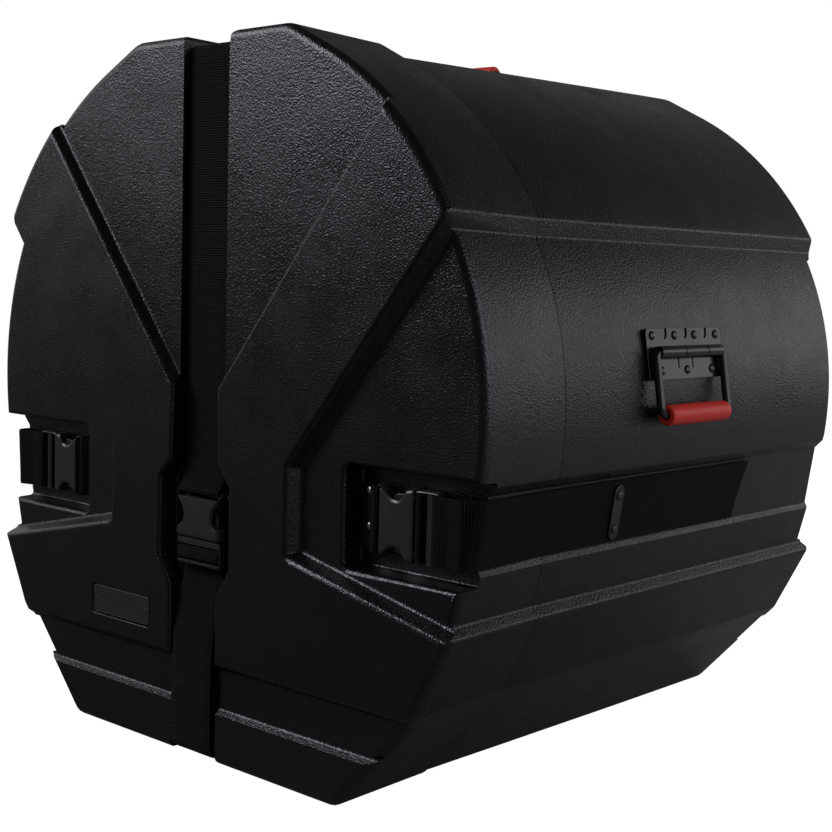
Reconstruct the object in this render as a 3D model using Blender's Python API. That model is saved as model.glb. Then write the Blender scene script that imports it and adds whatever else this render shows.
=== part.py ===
"""Bass drum case: a rotationally moulded tub and lid with strap buckles and three sprung handles.

The case lies with its barrel axis along Y. The lid faces -Y, +X is its right-hand side as seen
from the front, and the origin is on the floor under the middle of the case. Sizes are in metres.
"""
import math

import bmesh
import bpy
from mathutils import Matrix, Vector

# Overall size
CASE_DEPTH = 0.540
CASE_HEIGHT = 0.585
LID_DEPTH = 0.110
FRONT_Y = -CASE_DEPTH / 2
BACK_Y = CASE_DEPTH / 2
SEAM_Y = FRONT_Y + LID_DEPTH
GAP = 0.0003
# Shares by which an outline grows across and upwards, at the seam and at the end face
LID_GROWTH = ((0.0, 0.0), (0.0220, 0.0040))
TUB_GROWTH = ((0.0045, 0.0), (0.0045, 0.0))

# Cross-section, right half, seen from the front
HUB = Vector((0.0, 0.295))
FLOOR_HALF_WIDTH = 0.160
CREASE = (0.2394, 0.0865)
LEDGE = (0.2705, 0.1480)
LEDGE_FOOT = (0.2640, 0.1560)
CHANNEL_LIP = (0.2725, 0.1900)
CHANNEL_LOW = (0.2700, 0.1945)
CHANNEL_HIGH = (0.2775, 0.2480)
PANEL_LOW = (0.2850, 0.2555)
PANEL_CENTRE = (0.0, 0.2970)
PANEL_RADIUS = 0.2885
PANEL_TOP_Z = 0.4310
BARREL_CENTRE = (0.0, 0.3000)
BARREL_RADIUS = 0.2955
BARREL_LOW_Z = 0.4440
BARREL_TOP_ANGLE = math.radians(63.7)
CROWN_HALF_WIDTH = 0.0905
TUB_TOP_AT_SEAM = 0.5705
TUB_TOP_AT_BACK = 0.5845

# Relief of the two end faces, as depths behind the raised arms
RIM_RADIUS = 0.0080
WEDGE_DEPTH = 0.009
SIDE_DEPTH = 0.012
BACK_SIDE_DEPTH = 0.0095
BAND_DEPTH = 0.008
FOOT_DEPTH = 0.003
GROOVE_DEPTH = 0.017
POCKET_DEPTH = 0.032
WALL_SLOPE = 0.0045
EDGE_CHAMFER = 0.0018
GROOVE_HALF_WIDTH = 0.0285
BAY_HALF_WIDTH = 0.0435
ARM_SLOPE = 1.2246
WEDGE_APEX_Z = 0.2716
SIDE_INNER_X = 0.109
SIDE_LOW_Z = 0.183
SIDE_HIGH_Z = 0.254
RELIEF_BOTTOM_Z = 0.0845
FOOT_TOP_Z = 0.0455
POCKET_INNER_X = 0.160
POCKET_LOW_Z = 0.182
POCKET_HIGH_Z = 0.260
POCKET_OUTER_X = 0.310
BADGE_CENTRE = (-0.0950, 0.1120)
BADGE_SIZE = (0.078, 0.024)

# Inside of the shells
CAVITY_FRONT = 0.023
CAVITY_BACK = 0.014
POCKET_WALL = 0.006
COLLAR_LENGTH = 0.012
COLLAR_WALL = 0.0028
COLLAR_PLAY = 0.0006

# Webbing and its fixings
WEB_WIDTH = 0.0508
WEB_THICKNESS = 0.0018
WEB_LEVEL = 0.0148
STRAP_Z = 0.2205
SIDE_STRAP_END = 0.386
STRAP_JOIN_X = 0.2560
STRAP_JOIN_DEPTH = 0.0196
TOP_STRAP_END = 0.232
PLATE_FROM_FRONT = 0.196
PLATE_SIZE = (0.0125, 0.0445, 0.002)
PLATE_RIVET_PITCH = 0.0275
RIVET_HEAD = 0.0036
RIVET_SHANK = 0.0018
LADDER_SLOT = 0.0045

# Side release buckle, local frame: +X out of the socket's mouth, Z away from the case
BUCKLE_WIDTH = 0.0545
BUCKLE_LOW = 0.0026
BUCKLE_HIGH = 0.0125
BUCKLE_SHELL = 0.0018
SOCKET_LENGTH = 0.0395
PLUG_LENGTH = 0.0235
PRONG_LENGTH = 0.0250
CENTRE_MOUTH_Z = 0.1825
SIDE_MOUTH_X = 0.2225

# Sprung handle, local frame: X along the hinge, Y from the grip up to the plate, Z outwards
HINGE_HEIGHT = 0.0056
BARREL_OUTER = 0.0051
BARREL_BORE = 0.0038
BARREL_HALF = 0.0462
LEG_SPACING = 0.1000
LEG_LENGTH = 0.0497
ROD_RADIUS = 0.0033
BEND_RADIUS = 0.0075
GRIP_RADIUS = 0.0081
GRIP_HALF = 0.0437
PLATE_HALF = 0.0560
PLATE_TOP = 0.0195
PLATE_LOW = 0.0214
PLATE_THICKNESS = 0.0019
NOTCH_DEPTH = 0.0082
NOTCH_HALF = 0.0016
SIDE_HANDLE_Y = 0.2715
SIDE_HANDLE_Z = 0.3443
TOP_HANDLE_Y = 0.268
TOP_HANDLE_REST = math.radians(4.0)


def new_material(name, colour, roughness, metallic=0.0):
    """A plain finish from an RGB colour."""
    finish = bpy.data.materials.new(name)
    finish.use_nodes = True
    shader = finish.node_tree.nodes["Principled BSDF"]
    shader.inputs["Base Color"].default_value = (*colour, 1.0)
    shader.inputs["Roughness"].default_value = roughness
    shader.inputs["Metallic"].default_value = metallic
    finish.diffuse_color = (*colour, 1.0)
    return finish


def add_object(name, mesh_builder, finish, smooth_angle=35.0):
    """Turns a bmesh into a named object with its faces pointing out."""
    bmesh.ops.recalc_face_normals(mesh_builder, faces=mesh_builder.faces)
    mesh = bpy.data.meshes.new(name)
    mesh_builder.to_mesh(mesh)
    mesh_builder.free()
    mesh.shade_smooth()
    mesh.set_sharp_from_angle(angle=math.radians(smooth_angle))
    built = bpy.data.objects.new(name, mesh)
    bpy.context.scene.collection.objects.link(built)
    if finish:
        mesh.materials.append(finish)
    return built


def hide_cutter(cutter):
    """Marks an object as a cutting tool and not a piece of the case."""
    cutter.hide_render = True
    cutter.display_type = "WIRE"
    return cutter


def boolean(target, tool, operation="DIFFERENCE"):
    """Adds a Boolean to a piece, with the other object as a tool that moves with it."""
    step = target.modifiers.new(operation.lower() + "_" + tool.name, "BOOLEAN")
    step.operation = operation
    step.solver = "EXACT"
    step.object = tool
    tool.parent = target
    hide_cutter(tool)


def place(piece, origin, along, outward):
    """Sets a piece down with its local X along one direction and its local Z outward."""
    x_axis = Vector(along).normalized()
    z_axis = Vector(outward).normalized()
    y_axis = z_axis.cross(x_axis)
    turn = Matrix((x_axis, y_axis, z_axis)).transposed()
    piece.location = origin
    piece.rotation_euler = turn.to_euler()
    return piece


def loft(mesh_builder, rings):
    """Joins equal rings of points into one closed body with flat ends."""
    loops = [[mesh_builder.verts.new(point) for point in ring] for ring in rings]
    count = len(loops[0])
    for near, far in zip(loops, loops[1:]):
        for i in range(count):
            j = (i + 1) % count
            mesh_builder.faces.new((near[i], near[j], far[j], far[i]))
    mesh_builder.faces.new(loops[0])
    mesh_builder.faces.new(list(reversed(loops[-1])))
    return loops


def block(mesh_builder, low, high):
    """A box between two corners."""
    ring = [(low[0], low[1]), (high[0], low[1]), (high[0], high[1]), (low[0], high[1])]
    loft(mesh_builder, [[(x, y, z) for x, y in ring] for z in (low[2], high[2])])


def block_object(name, low, high, finish=None):
    """A box as its own object."""
    body = bmesh.new()
    block(body, low, high)
    return add_object(name, body, finish)


def circle_points(radius, count, phase=0.0):
    """Points round a circle."""
    step = 2 * math.pi / count
    return [(radius * math.cos(phase + i * step), radius * math.sin(phase + i * step)) for i in range(count)]


def arc(centre, radius, start, end, steps):
    """Points along an arc, both ends included."""
    turns = [start + (end - start) * i / steps for i in range(steps + 1)]
    return [(centre[0] + radius * math.cos(a), centre[1] + radius * math.sin(a)) for a in turns]


def arc_between_heights(centre, radius, low_z, high_z, steps):
    """The right-hand arc of a circle between two heights."""
    start = math.asin((low_z - centre[1]) / radius)
    end = math.asin((high_z - centre[1]) / radius)
    return arc(centre, radius, start, end, steps)


def mirrored(half):
    """A whole outline from its right half, anticlockwise seen from the front."""
    return half + [(-x, z) for x, z in reversed(half)]


def drawn_in(outline, distance):
    """Moves every point of an outline towards the hub."""
    moved = []
    for point in outline:
        spoke = Vector(point) - HUB
        moved.append(tuple(HUB + spoke * (1 - distance / spoke.length)))
    return moved


def offset(outline, distance):
    """Moves the sides of an anticlockwise outline outwards, keeping its corners sharp."""
    moved = []
    count = len(outline)
    for i in range(count):
        before, here, after = (Vector(outline[(i + k) % count]) for k in (-1, 0, 1))
        first = (here - before).normalized()
        second = (after - here).normalized()
        normal_a = Vector((first.y, -first.x))
        normal_b = Vector((second.y, -second.x))
        moved.append(tuple(here + (normal_a + normal_b) * distance / (1 + normal_a.dot(normal_b))))
    return moved


def grown(outline, growth, share=0.0):
    """Widens and raises an outline, with its growth at the seam and at the end face mixed."""
    across, up = (seam + (face - seam) * share for seam, face in zip(*growth))
    return [(x * (1 + across), z * (1 + up)) for x, z in outline]


def case_section():
    """The outline that the lid and the tub share."""
    half = [(FLOOR_HALF_WIDTH, 0.0), CREASE, LEDGE, LEDGE_FOOT, CHANNEL_LIP, CHANNEL_LOW, CHANNEL_HIGH]
    half += arc_between_heights(PANEL_CENTRE, PANEL_RADIUS, PANEL_LOW[1], PANEL_TOP_Z, 8)
    barrel_low = math.asin((BARREL_LOW_Z - BARREL_CENTRE[1]) / BARREL_RADIUS)
    half += arc(BARREL_CENTRE, BARREL_RADIUS, barrel_low, BARREL_TOP_ANGLE, 8)
    half.append((CROWN_HALF_WIDTH, CASE_HEIGHT))
    return mirrored(half)


def cavity_section():
    """The inside outline of the tub, a wall's thickness behind the case's outline."""
    half = [(0.1650, 0.0145), (0.2335, 0.0895), (0.2600, 0.1450), (0.2580, 0.1560)]
    half += [(0.2645, 0.1930), (0.2715, 0.2500)]
    half += arc_between_heights(PANEL_CENTRE, PANEL_RADIUS - 0.0060, 0.2590, 0.4360, 6)
    barrel_low = math.asin((0.4450 - BARREL_CENTRE[1]) / (BARREL_RADIUS - 0.0060))
    barrel_high = math.asin((TUB_TOP_AT_SEAM - 0.0060 - BARREL_CENTRE[1]) / (BARREL_RADIUS - 0.0060))
    half += arc(BARREL_CENTRE, BARREL_RADIUS - 0.0060, barrel_low, barrel_high, 6)
    return mirrored(half)


def at_depth(depth, facing):
    """World Y of a place behind the front face, or behind the back face."""
    return FRONT_Y + depth if facing == "front" else BACK_Y - depth


def prism(name, stations, facing="front", finish=None):
    """A body through outlines in (x, z), each at its depth behind one end face."""
    body = bmesh.new()
    loft(body, [[(x, at_depth(depth, facing), z) for x, z in outline] for depth, outline in stations])
    return add_object(name, body, finish)


def blank(name, level, length, facing, growth, finish=None):
    """The whole outline with a rounded rim, its face lying level behind the raised arms."""
    outline = case_section()
    stations = [(length, grown(outline, growth))]
    for angle in (0.0, 30.0, 60.0, 90.0):
        turn = math.radians(angle)
        depth = level + RIM_RADIUS * (1 - math.sin(turn))
        inset = RIM_RADIUS * (1 - math.cos(turn))
        stations.append((depth, drawn_in(grown(outline, growth, 1 - depth / length), inset)))
    return prism(name, stations, facing, finish)


def sunk_region(name, outline, depth, facing="front", bottom=None):
    """A cutter with sloping walls and chamfered top edges for a place that lies lower."""
    bottom = bottom or depth
    slope = WALL_SLOPE * depth / SIDE_DEPTH
    return prism(
        name,
        [
            (bottom, offset(outline, -slope * bottom / depth)),
            (EDGE_CHAMFER, outline),
            (-0.001, offset(outline, EDGE_CHAMFER + 0.001)),
        ],
        facing,
    )


def relief_regions(facing):
    """Name, depth and outlines of the places between the raised arms of one end face."""
    reach = 0.35
    rise = (reach - SIDE_INNER_X) * ARM_SLOPE
    low_slope = (SIDE_LOW_Z - LEDGE[1]) / (LEDGE[0] - SIDE_INNER_X)
    right = [
        (SIDE_INNER_X, SIDE_LOW_Z),
        (reach, SIDE_LOW_Z - (reach - SIDE_INNER_X) * low_slope),
        (reach, SIDE_HIGH_Z + rise),
        (SIDE_INNER_X, SIDE_HIGH_Z),
    ]
    left = [(-x, z) for x, z in reversed(right)]
    top = WEDGE_APEX_Z + reach * ARM_SLOPE
    wedge = [(0.0, WEDGE_APEX_Z), (reach, top), (-reach, top)]
    band = [(-reach, FOOT_TOP_Z), (reach, FOOT_TOP_Z), (reach, RELIEF_BOTTOM_Z), (-reach, RELIEF_BOTTOM_Z)]
    foot = [(-reach, -0.05), (reach, -0.05), (reach, FOOT_TOP_Z - 0.002), (-reach, FOOT_TOP_Z - 0.002)]
    side = SIDE_DEPTH if facing == "front" else BACK_SIDE_DEPTH
    regions = [("side_right", side, right), ("side_left", side, left)]
    regions += [("band", BAND_DEPTH, band), ("foot", FOOT_DEPTH, foot)]
    if facing == "front":
        regions.append(("wedge", WEDGE_DEPTH, wedge))
    return regions


def cut_relief(shell, length, facing, growth):
    """Lowers the places between the arms, each with the same rounded rim as the arms."""
    for name, depth, outline in relief_regions(facing):
        bottom = depth + RIM_RADIUS - 0.0002
        cutter = sunk_region(f"cut_{facing}_{name}", outline, depth, facing, bottom)
        boolean(cutter, blank(f"keep_{facing}_{name}", depth, length, facing, growth))
        boolean(shell, cutter)


def groove_outline(low_z, high_z):
    """The strap groove's outline down an end face."""
    half = GROOVE_HALF_WIDTH
    return [(-half, low_z), (half, low_z), (half, high_z), (-half, high_z)]


def bay_outline():
    """The wider bay in the groove that takes the centre buckle."""
    half = [(GROOVE_HALF_WIDTH, 0.139), (BAY_HALF_WIDTH, 0.162), (BAY_HALF_WIDTH, 0.229), (GROOVE_HALF_WIDTH, 0.247)]
    return mirrored(half)


def pocket_cutter(side):
    """Cuts one side pocket, open at its outer end into the strap channel."""
    profile = [
        (POCKET_INNER_X, -0.010),
        (POCKET_INNER_X, POCKET_DEPTH - 0.003),
        (POCKET_INNER_X + 0.003, POCKET_DEPTH),
        (POCKET_OUTER_X, POCKET_DEPTH),
        (POCKET_OUTER_X, -0.010),
    ]
    body = bmesh.new()
    levels = [(POCKET_LOW_Z, 0.003), (POCKET_LOW_Z + 0.003, 0.0), (POCKET_HIGH_Z - 0.003, 0.0), (POCKET_HIGH_Z, 0.003)]
    rings = []
    for z, corner in levels:
        shifted = [(x + corner if x < POCKET_OUTER_X else x, depth) for x, depth in profile]
        rings.append([(side * x, FRONT_Y + depth, z) for x, depth in shifted])
    loft(body, rings)
    return add_object("cut_pocket_right" if side > 0 else "cut_pocket_left", body, None)


def make_lid(finish):
    """The lid: moulded relief, strap groove, buckle bay, two pockets and the hollow behind them."""
    lid = blank("lid_shell", 0.0, LID_DEPTH - GAP, "front", LID_GROWTH, finish)
    cut_relief(lid, LID_DEPTH - GAP, "front", LID_GROWTH)
    groove = prism(
        "cut_groove",
        [
            (GROOVE_DEPTH, groove_outline(-0.05, 0.65)),
            (WEDGE_DEPTH, offset(groove_outline(-0.05, 0.65), 0.0003)),
            (-0.001, offset(groove_outline(-0.05, 0.65), 0.001)),
        ],
    )
    boolean(lid, groove)
    bay = prism(
        "cut_bay",
        [
            (GROOVE_DEPTH + 0.0001, offset(bay_outline(), -0.001)),
            (EDGE_CHAMFER, bay_outline()),
            (-0.001, offset(bay_outline(), EDGE_CHAMFER)),
        ],
    )
    boolean(lid, bay)
    half = GROOVE_HALF_WIDTH
    over_top = block_object("cut_top_groove", (-half, FRONT_Y - 0.01, 0.5780), (half, SEAM_Y + 0.01, 0.60))
    boolean(lid, over_top)
    boolean(lid, bottom_groove("cut_lid_bottom"))
    for side in (1, -1):
        boolean(lid, pocket_cutter(side))
    boolean(lid, badge_recess())
    boolean(lid, lid_cavity())
    return lid


def bottom_groove(name):
    """The groove under the case that keeps the strap clear of the floor."""
    half = GROOVE_HALF_WIDTH
    return block_object(name, (-half, FRONT_Y - 0.01, -0.01), (half, FRONT_Y + TOP_STRAP_END + 0.006, 0.009))


def badge_recess():
    """The shallow place for the bare plate, low on the left of the lid."""
    x, z = BADGE_CENTRE
    half_x, half_z = BADGE_SIZE[0] / 2 + 0.0015, BADGE_SIZE[1] / 2 + 0.0015
    outline = [(x - half_x, z - half_z), (x + half_x, z - half_z), (x + half_x, z + half_z), (x - half_x, z + half_z)]
    return prism("cut_badge", [(0.0022, outline), (-0.001, offset(outline, 0.0012))])


def lid_cavity():
    """The hollow of the lid, with the walls of the two pockets left standing in it."""
    outline = drawn_in(cavity_section(), -COLLAR_WALL - COLLAR_PLAY)
    hollow = prism("cut_lid_cavity", [(LID_DEPTH + 0.01, outline), (CAVITY_FRONT, outline)])
    for side in (1, -1):
        inner = POCKET_INNER_X - POCKET_WALL
        xs = sorted((side * inner, side * 0.35))
        low = (xs[0], FRONT_Y, POCKET_LOW_Z - POCKET_WALL)
        high = (xs[1], FRONT_Y + POCKET_DEPTH + POCKET_WALL, POCKET_HIGH_Z + POCKET_WALL)
        boolean(hollow, block_object(f"keep_pocket_{'right' if side > 0 else 'left'}", low, high))
    return hollow


def make_tub(finish):
    """The tub: open at the seam, with a collar that enters the lid and the same relief behind."""
    length = CASE_DEPTH - LID_DEPTH - GAP
    tub = blank("body_shell", 0.0, length, "back", TUB_GROWTH, finish)
    cut_relief(tub, length, "back", TUB_GROWTH)
    boolean(tub, tub_top_cutter())
    boolean(tub, bottom_groove("cut_tub_bottom"))
    collar_outline = drawn_in(cavity_section(), -COLLAR_WALL)
    seam_depth = CASE_DEPTH - LID_DEPTH
    collar = prism(
        "tub_collar",
        [(seam_depth + COLLAR_LENGTH, collar_outline), (seam_depth - 0.020, collar_outline)],
        "back",
    )
    boolean(tub, collar, "UNION")
    hollow = prism(
        "cut_tub_cavity",
        [(seam_depth + COLLAR_LENGTH + 0.01, cavity_section()), (CAVITY_BACK, cavity_section())],
        "back",
    )
    boolean(tub, hollow)
    return tub


def tub_top_cutter():
    """Cuts the tub's flat top, which climbs a little from the seam to the back."""
    slope = (TUB_TOP_AT_BACK - TUB_TOP_AT_SEAM) / (BACK_Y - SEAM_Y)
    body = bmesh.new()
    ends = (SEAM_Y - 0.02, BACK_Y + 0.02)
    heights = [TUB_TOP_AT_SEAM + slope * (y - SEAM_Y) for y in ends]
    ring = [(ends[0], heights[0]), (ends[1], heights[1]), (ends[1], 0.65), (ends[0], 0.65)]
    loft(body, [[(x, y, z) for y, z in ring] for x in (-0.2, 0.2)])
    return add_object("cut_tub_top", body, None)


def tub_top_height(y):
    """Height of the tub's flat top at a place along the case."""
    return TUB_TOP_AT_SEAM + (TUB_TOP_AT_BACK - TUB_TOP_AT_SEAM) * (y - SEAM_Y) / (BACK_Y - SEAM_Y)


def make_padding(foam):
    """Foam sheets: a sleeve round the tub's inside, a sheet at its back and a disc in the lid."""
    outer = drawn_in(cavity_section(), 0.0006)
    inner = drawn_in(cavity_section(), 0.0075)
    seam_depth = CASE_DEPTH - LID_DEPTH
    sleeve = prism("foam_sleeve", [(seam_depth + 0.006, outer), (CAVITY_BACK + 0.0095, outer)], "back", foam)
    bore = prism("cut_sleeve", [(seam_depth + 0.02, inner), (CAVITY_BACK, inner)], "back")
    boolean(sleeve, bore)
    prism("foam_back_pad", [(CAVITY_BACK + 0.0090, outer), (CAVITY_BACK + 0.0005, outer)], "back", foam)
    disc = [(x, z + 0.300) for x, z in circle_points(0.140, 32)]
    prism("foam_lid_pad", [(CAVITY_FRONT + 0.0100, disc), (CAVITY_FRONT + GAP, disc)], "front", foam)


def make_badge(plastic):
    """The bare plate in its recess, with the two studs that hold it."""
    x, z = BADGE_CENTRE
    half_x, half_z = BADGE_SIZE[0] / 2, BADGE_SIZE[1] / 2
    corner = 0.003
    outline = []
    for cx, cz, start in ((1, -1, -90), (1, 1, 0), (-1, 1, 90), (-1, -1, 180)):
        centre = (x + cx * (half_x - corner), z + cz * (half_z - corner))
        outline += arc(centre, corner, math.radians(start), math.radians(start + 90), 3)
    plate = prism("badge_plate", [(0.0019, outline), (0.0012, outline), (0.0008, offset(outline, -0.0004))])
    plate.data.materials.append(plastic)
    studs = bmesh.new()
    for side in (-1, 1):
        centre_x = x + side * (half_x - 0.005)
        rings = []
        for depth, radius in ((0.0014, 0.0016), (0.0006, 0.0015), (0.0003, 0.0009)):
            rings.append([(centre_x + px, FRONT_Y + depth, z + pz) for px, pz in circle_points(radius, 10)])
        loft(studs, rings)
    boolean(plate, add_object("badge_studs", studs, None), "UNION")


def ribbon(name, stations, finish):
    """Webbing through stations of (centre, across, outward), with its own width and thickness."""
    body = bmesh.new()
    rings = []
    for centre, across, outward in stations:
        side = Vector(across).normalized() * WEB_WIDTH / 2
        lift = Vector(outward).normalized() * WEB_THICKNESS / 2
        middle = Vector(centre)
        rings.append([middle - side - lift, middle + side - lift, middle + side + lift, middle - side + lift])
    loft(body, rings)
    return add_object(name, body, finish, 25.0)


def path_stations(points, across):
    """Stations along a bending path, each with its outward side square to the path."""
    stations = []
    for i, point in enumerate(points):
        before = Vector(points[max(i - 1, 0)])
        after = Vector(points[min(i + 1, len(points) - 1)])
        along = (after - before).normalized()
        into = (Vector(point) - before).normalized() if i else along
        out = (after - Vector(point)).normalized() if i < len(points) - 1 else along
        stretch = 1 / max(math.sqrt((1 + into.dot(out)) / 2), 0.5)
        stations.append((point, across, Vector(across).cross(along), stretch))
    return stations


def bent_ribbon(name, points, across, finish, width=WEB_WIDTH):
    """Webbing that follows a path in one plane, keeping its thickness in the bends."""
    body = bmesh.new()
    rings = []
    for centre, side_way, outward, stretch in path_stations(points, across):
        side = Vector(side_way).normalized() * width / 2
        lift = Vector(outward).normalized() * WEB_THICKNESS / 2 * stretch
        middle = Vector(centre)
        rings.append([middle - side - lift, middle + side - lift, middle + side + lift, middle - side + lift])
    loft(body, rings)
    return add_object(name, body, finish, 25.0)


def make_socket(name, plastic):
    """The hollow half of a side release buckle, waisted so that its side windows open."""
    half = BUCKLE_WIDTH / 2
    body = bmesh.new()
    outline = [(-SOCKET_LENGTH, -half + 0.004), (-SOCKET_LENGTH + 0.004, -half), (-0.0015, -half)]
    outline += [(0.0, -half + 0.0015)]
    outline += [(x, -y) for x, y in reversed(outline)]
    low, high = BUCKLE_LOW, BUCKLE_HIGH
    rings = []
    for z, inset in ((low, 0.0010), (low + 0.0012, 0.0), (high - 0.0030, 0.0), (high - 0.0010, 0.0010), (high, 0.0030)):
        rings.append([(x, y, z) for x, y in offset(outline, -inset)])
    loft(body, rings)
    socket = add_object(name, body, plastic)
    for side in (-1, 1):
        window = bmesh.new()
        centre = (-0.0175, side * (half + 0.0065))
        ring = [(centre[0] + x, centre[1] + y) for x, y in circle_points(0.0125, 16)]
        loft(window, [[(x, y, z) for x, y in ring] for z in (-0.005, high + 0.005)])
        boolean(socket, add_object(f"cut_{name}_window_{'a' if side > 0 else 'b'}", window, None))
    mouth_low = (-0.0285, -0.0225, low + BUCKLE_SHELL)
    mouth_high = (0.010, 0.0225, high - BUCKLE_SHELL)
    boolean(socket, block_object(f"cut_{name}_mouth", mouth_low, mouth_high))
    slot_centre = -SOCKET_LENGTH + 0.0060
    slot_low = (slot_centre - LADDER_SLOT / 2, -0.0262, -0.01)
    slot_high = (slot_centre + LADDER_SLOT / 2, 0.0262, 0.03)
    boolean(socket, block_object(f"cut_{name}_slot", slot_low, slot_high))
    return socket


def make_plug(name, plastic):
    """The prong half of a side release buckle, with two ladder slots for the webbing."""
    half = BUCKLE_WIDTH / 2 - 0.0005
    body = bmesh.new()
    outline = [(0.0006, -half), (PLUG_LENGTH - 0.003, -half), (PLUG_LENGTH, -half + 0.003)]
    outline += [(x, -y) for x, y in reversed(outline)]
    rings = []
    low, high = BUCKLE_LOW, BUCKLE_HIGH - 0.0020
    for z, inset in ((low, 0.0010), (low + 0.0012, 0.0), (high - 0.0015, 0.0), (high, 0.0015)):
        rings.append([(x, y, z) for x, y in offset(outline, -inset)])
    loft(body, rings)
    plug = add_object(name, body, plastic)
    prongs = bmesh.new()
    for side in (-1, 1):
        arm = [(0.004, side * 0.0125), (0.004, side * 0.0190), (-0.0080, side * 0.0205), (-0.0130, side * 0.0218)]
        arm += [(-0.0220, side * 0.0218), (-PRONG_LENGTH, side * 0.0165), (-PRONG_LENGTH, side * 0.0140)]
        arm += [(-0.0205, side * 0.0165), (-0.0140, side * 0.0165)]
        loft(prongs, [[(x, y, z) for x, y in arm] for z in (low + 0.0023, high - 0.0004)])
    guide = [(0.004, -0.0030), (0.004, 0.0030), (-0.0230, 0.0018), (-0.0230, -0.0018)]
    loft(prongs, [[(x, y, z) for x, y in guide] for z in (low + 0.0026, high - 0.0007)])
    boolean(plug, add_object(f"{name}_prongs", prongs, None), "UNION")
    for number, centre in enumerate((0.0085, 0.0178)):
        low = (centre - LADDER_SLOT / 2, -0.0258, -0.01)
        high = (centre + LADDER_SLOT / 2, 0.0258, 0.03)
        boolean(plug, block_object(f"cut_{name}_slot_{number}", low, high))
    return plug


def ladder_path(low):
    """Path of webbing through the plug's ladder, from its end under the prongs out to the strap."""
    middle = 0.01315
    over = BUCKLE_HIGH - 0.0020 + GAP + WEB_THICKNESS / 2
    return [
        (0.0030, low),
        (0.0068, low),
        (0.0084, low + 0.0022),
        (0.0086, over - 0.0016),
        (0.0098, over),
        (middle, over + 0.0004),
        (0.0166, over),
        (0.0178, over - 0.0016),
        (0.0180, low + 0.0022),
        (0.0196, low),
        (PLUG_LENGTH + 0.0010, low),
    ]


def ladder_path_over(low):
    """The same ladder threaded the other way up, so that the strap leaves over the outer bar."""
    over = BUCKLE_HIGH - 0.0020 + GAP + WEB_THICKNESS / 2
    return [(x, low + over - z) for x, z in ladder_path(low)]


def make_handle(name, origin, along, outward, rest, finishes):
    """A handle: riveted plate with a rolled hinge barrel, wire bail, rubber grip and spring."""
    steel, rubber, zinc = finishes
    for piece in (handle_plate(f"handle_{name}_plate", steel), handle_spring(f"handle_{name}_spring", zinc)):
        place(piece, origin, along, outward)
    x_axis = Vector(along).normalized()
    z_axis = Vector(outward).normalized()
    hinge = bpy.data.objects.new(f"handle_{name}_hinge", None)
    bpy.context.scene.collection.objects.link(hinge)
    bail_out = z_axis * math.cos(rest) + z_axis.cross(x_axis) * math.sin(rest)
    place(hinge, Vector(origin) + z_axis * HINGE_HEIGHT, x_axis, bail_out)
    for piece in (handle_bail(f"handle_{name}_bail", steel), handle_grip(f"handle_{name}_grip", rubber)):
        piece.parent = hinge
    return hinge


def handle_plate(name, steel):
    """The back plate with its notched top edge, hinge barrel and riveted fixings."""
    wide, low, corner = PLATE_HALF, -PLATE_LOW, 0.003
    outline = [(-wide + corner, low), (wide - corner, low), (wide, low + corner)]
    outline += [(wide, PLATE_TOP - corner), (wide - corner, PLATE_TOP)]
    for centre in (0.0325, 0.0025, -0.0275):
        sides = [(centre + NOTCH_HALF, PLATE_TOP), (centre + NOTCH_HALF, PLATE_TOP - NOTCH_DEPTH)]
        outline += sides + [(2 * centre - x, y) for x, y in reversed(sides)]
    outline += [(-wide + corner, PLATE_TOP), (-wide, PLATE_TOP - corner), (-wide, low + corner)]
    body = bmesh.new()
    loft(body, [[(x, y, z) for x, y in outline] for z in (GAP, PLATE_THICKNESS)])
    plate = add_object(name, body, steel)
    barrel = bmesh.new()
    ring = circle_points(BARREL_OUTER, 16, math.pi / 16)
    loft(barrel, [[(x, y, z + HINGE_HEIGHT) for y, z in ring] for x in (-BARREL_HALF, BARREL_HALF)])
    boolean(plate, add_object(f"{name}_barrel", barrel, None), "UNION")
    bore = bmesh.new()
    ring = circle_points(BARREL_BORE, 12, math.pi / 12)
    loft(bore, [[(x, y, z + HINGE_HEIGHT) for y, z in ring] for x in (-BARREL_HALF - 0.02, BARREL_HALF + 0.02)])
    boolean(plate, add_object(f"cut_{name}_bore", bore, None))
    heads = bmesh.new()
    for x, y in fixing_points():
        rivet_head(heads, (x, y), PLATE_THICKNESS - 0.0005, 0.0016)
    boolean(plate, add_object(f"{name}_rivets", heads, None), "UNION")
    return plate


def fixing_points():
    """Where the plate is riveted: four along its top and three along its bottom."""
    top = [(x, 0.0138) for x in (-0.0477, -0.0150, 0.0150, 0.0477)]
    return top + [(x, -0.0144) for x in (-0.0375, 0.0, 0.0375)]


def rivet_head(body, centre, seat, rise):
    """A domed rivet head that stands on a seat, along local Z."""
    rings = [(seat, RIVET_HEAD), (seat + rise * 0.65, RIVET_HEAD * 0.86), (seat + rise, RIVET_HEAD * 0.45)]
    x, y = centre
    loft(body, [[(x + px, y + py, z) for px, py in circle_points(radius, 10)] for z, radius in rings])


def make_rivet(name, origin, outward, along, shank_length, zinc):
    """One rivet of its own: a domed head with the shank that goes down through the plate."""
    body = bmesh.new()
    head = RIVET_HEAD
    shank = [(-shank_length, RIVET_SHANK), (0.0, RIVET_SHANK)] if shank_length else []
    profile = shank + [(0.0, head), (0.0009, head * 0.86), (0.0014, head * 0.45)]
    loft(body, [[(px, py, z) for px, py in circle_points(radius, 10)] for z, radius in profile])
    return place(add_object(name, body, zinc), origin, along, outward)


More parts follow.
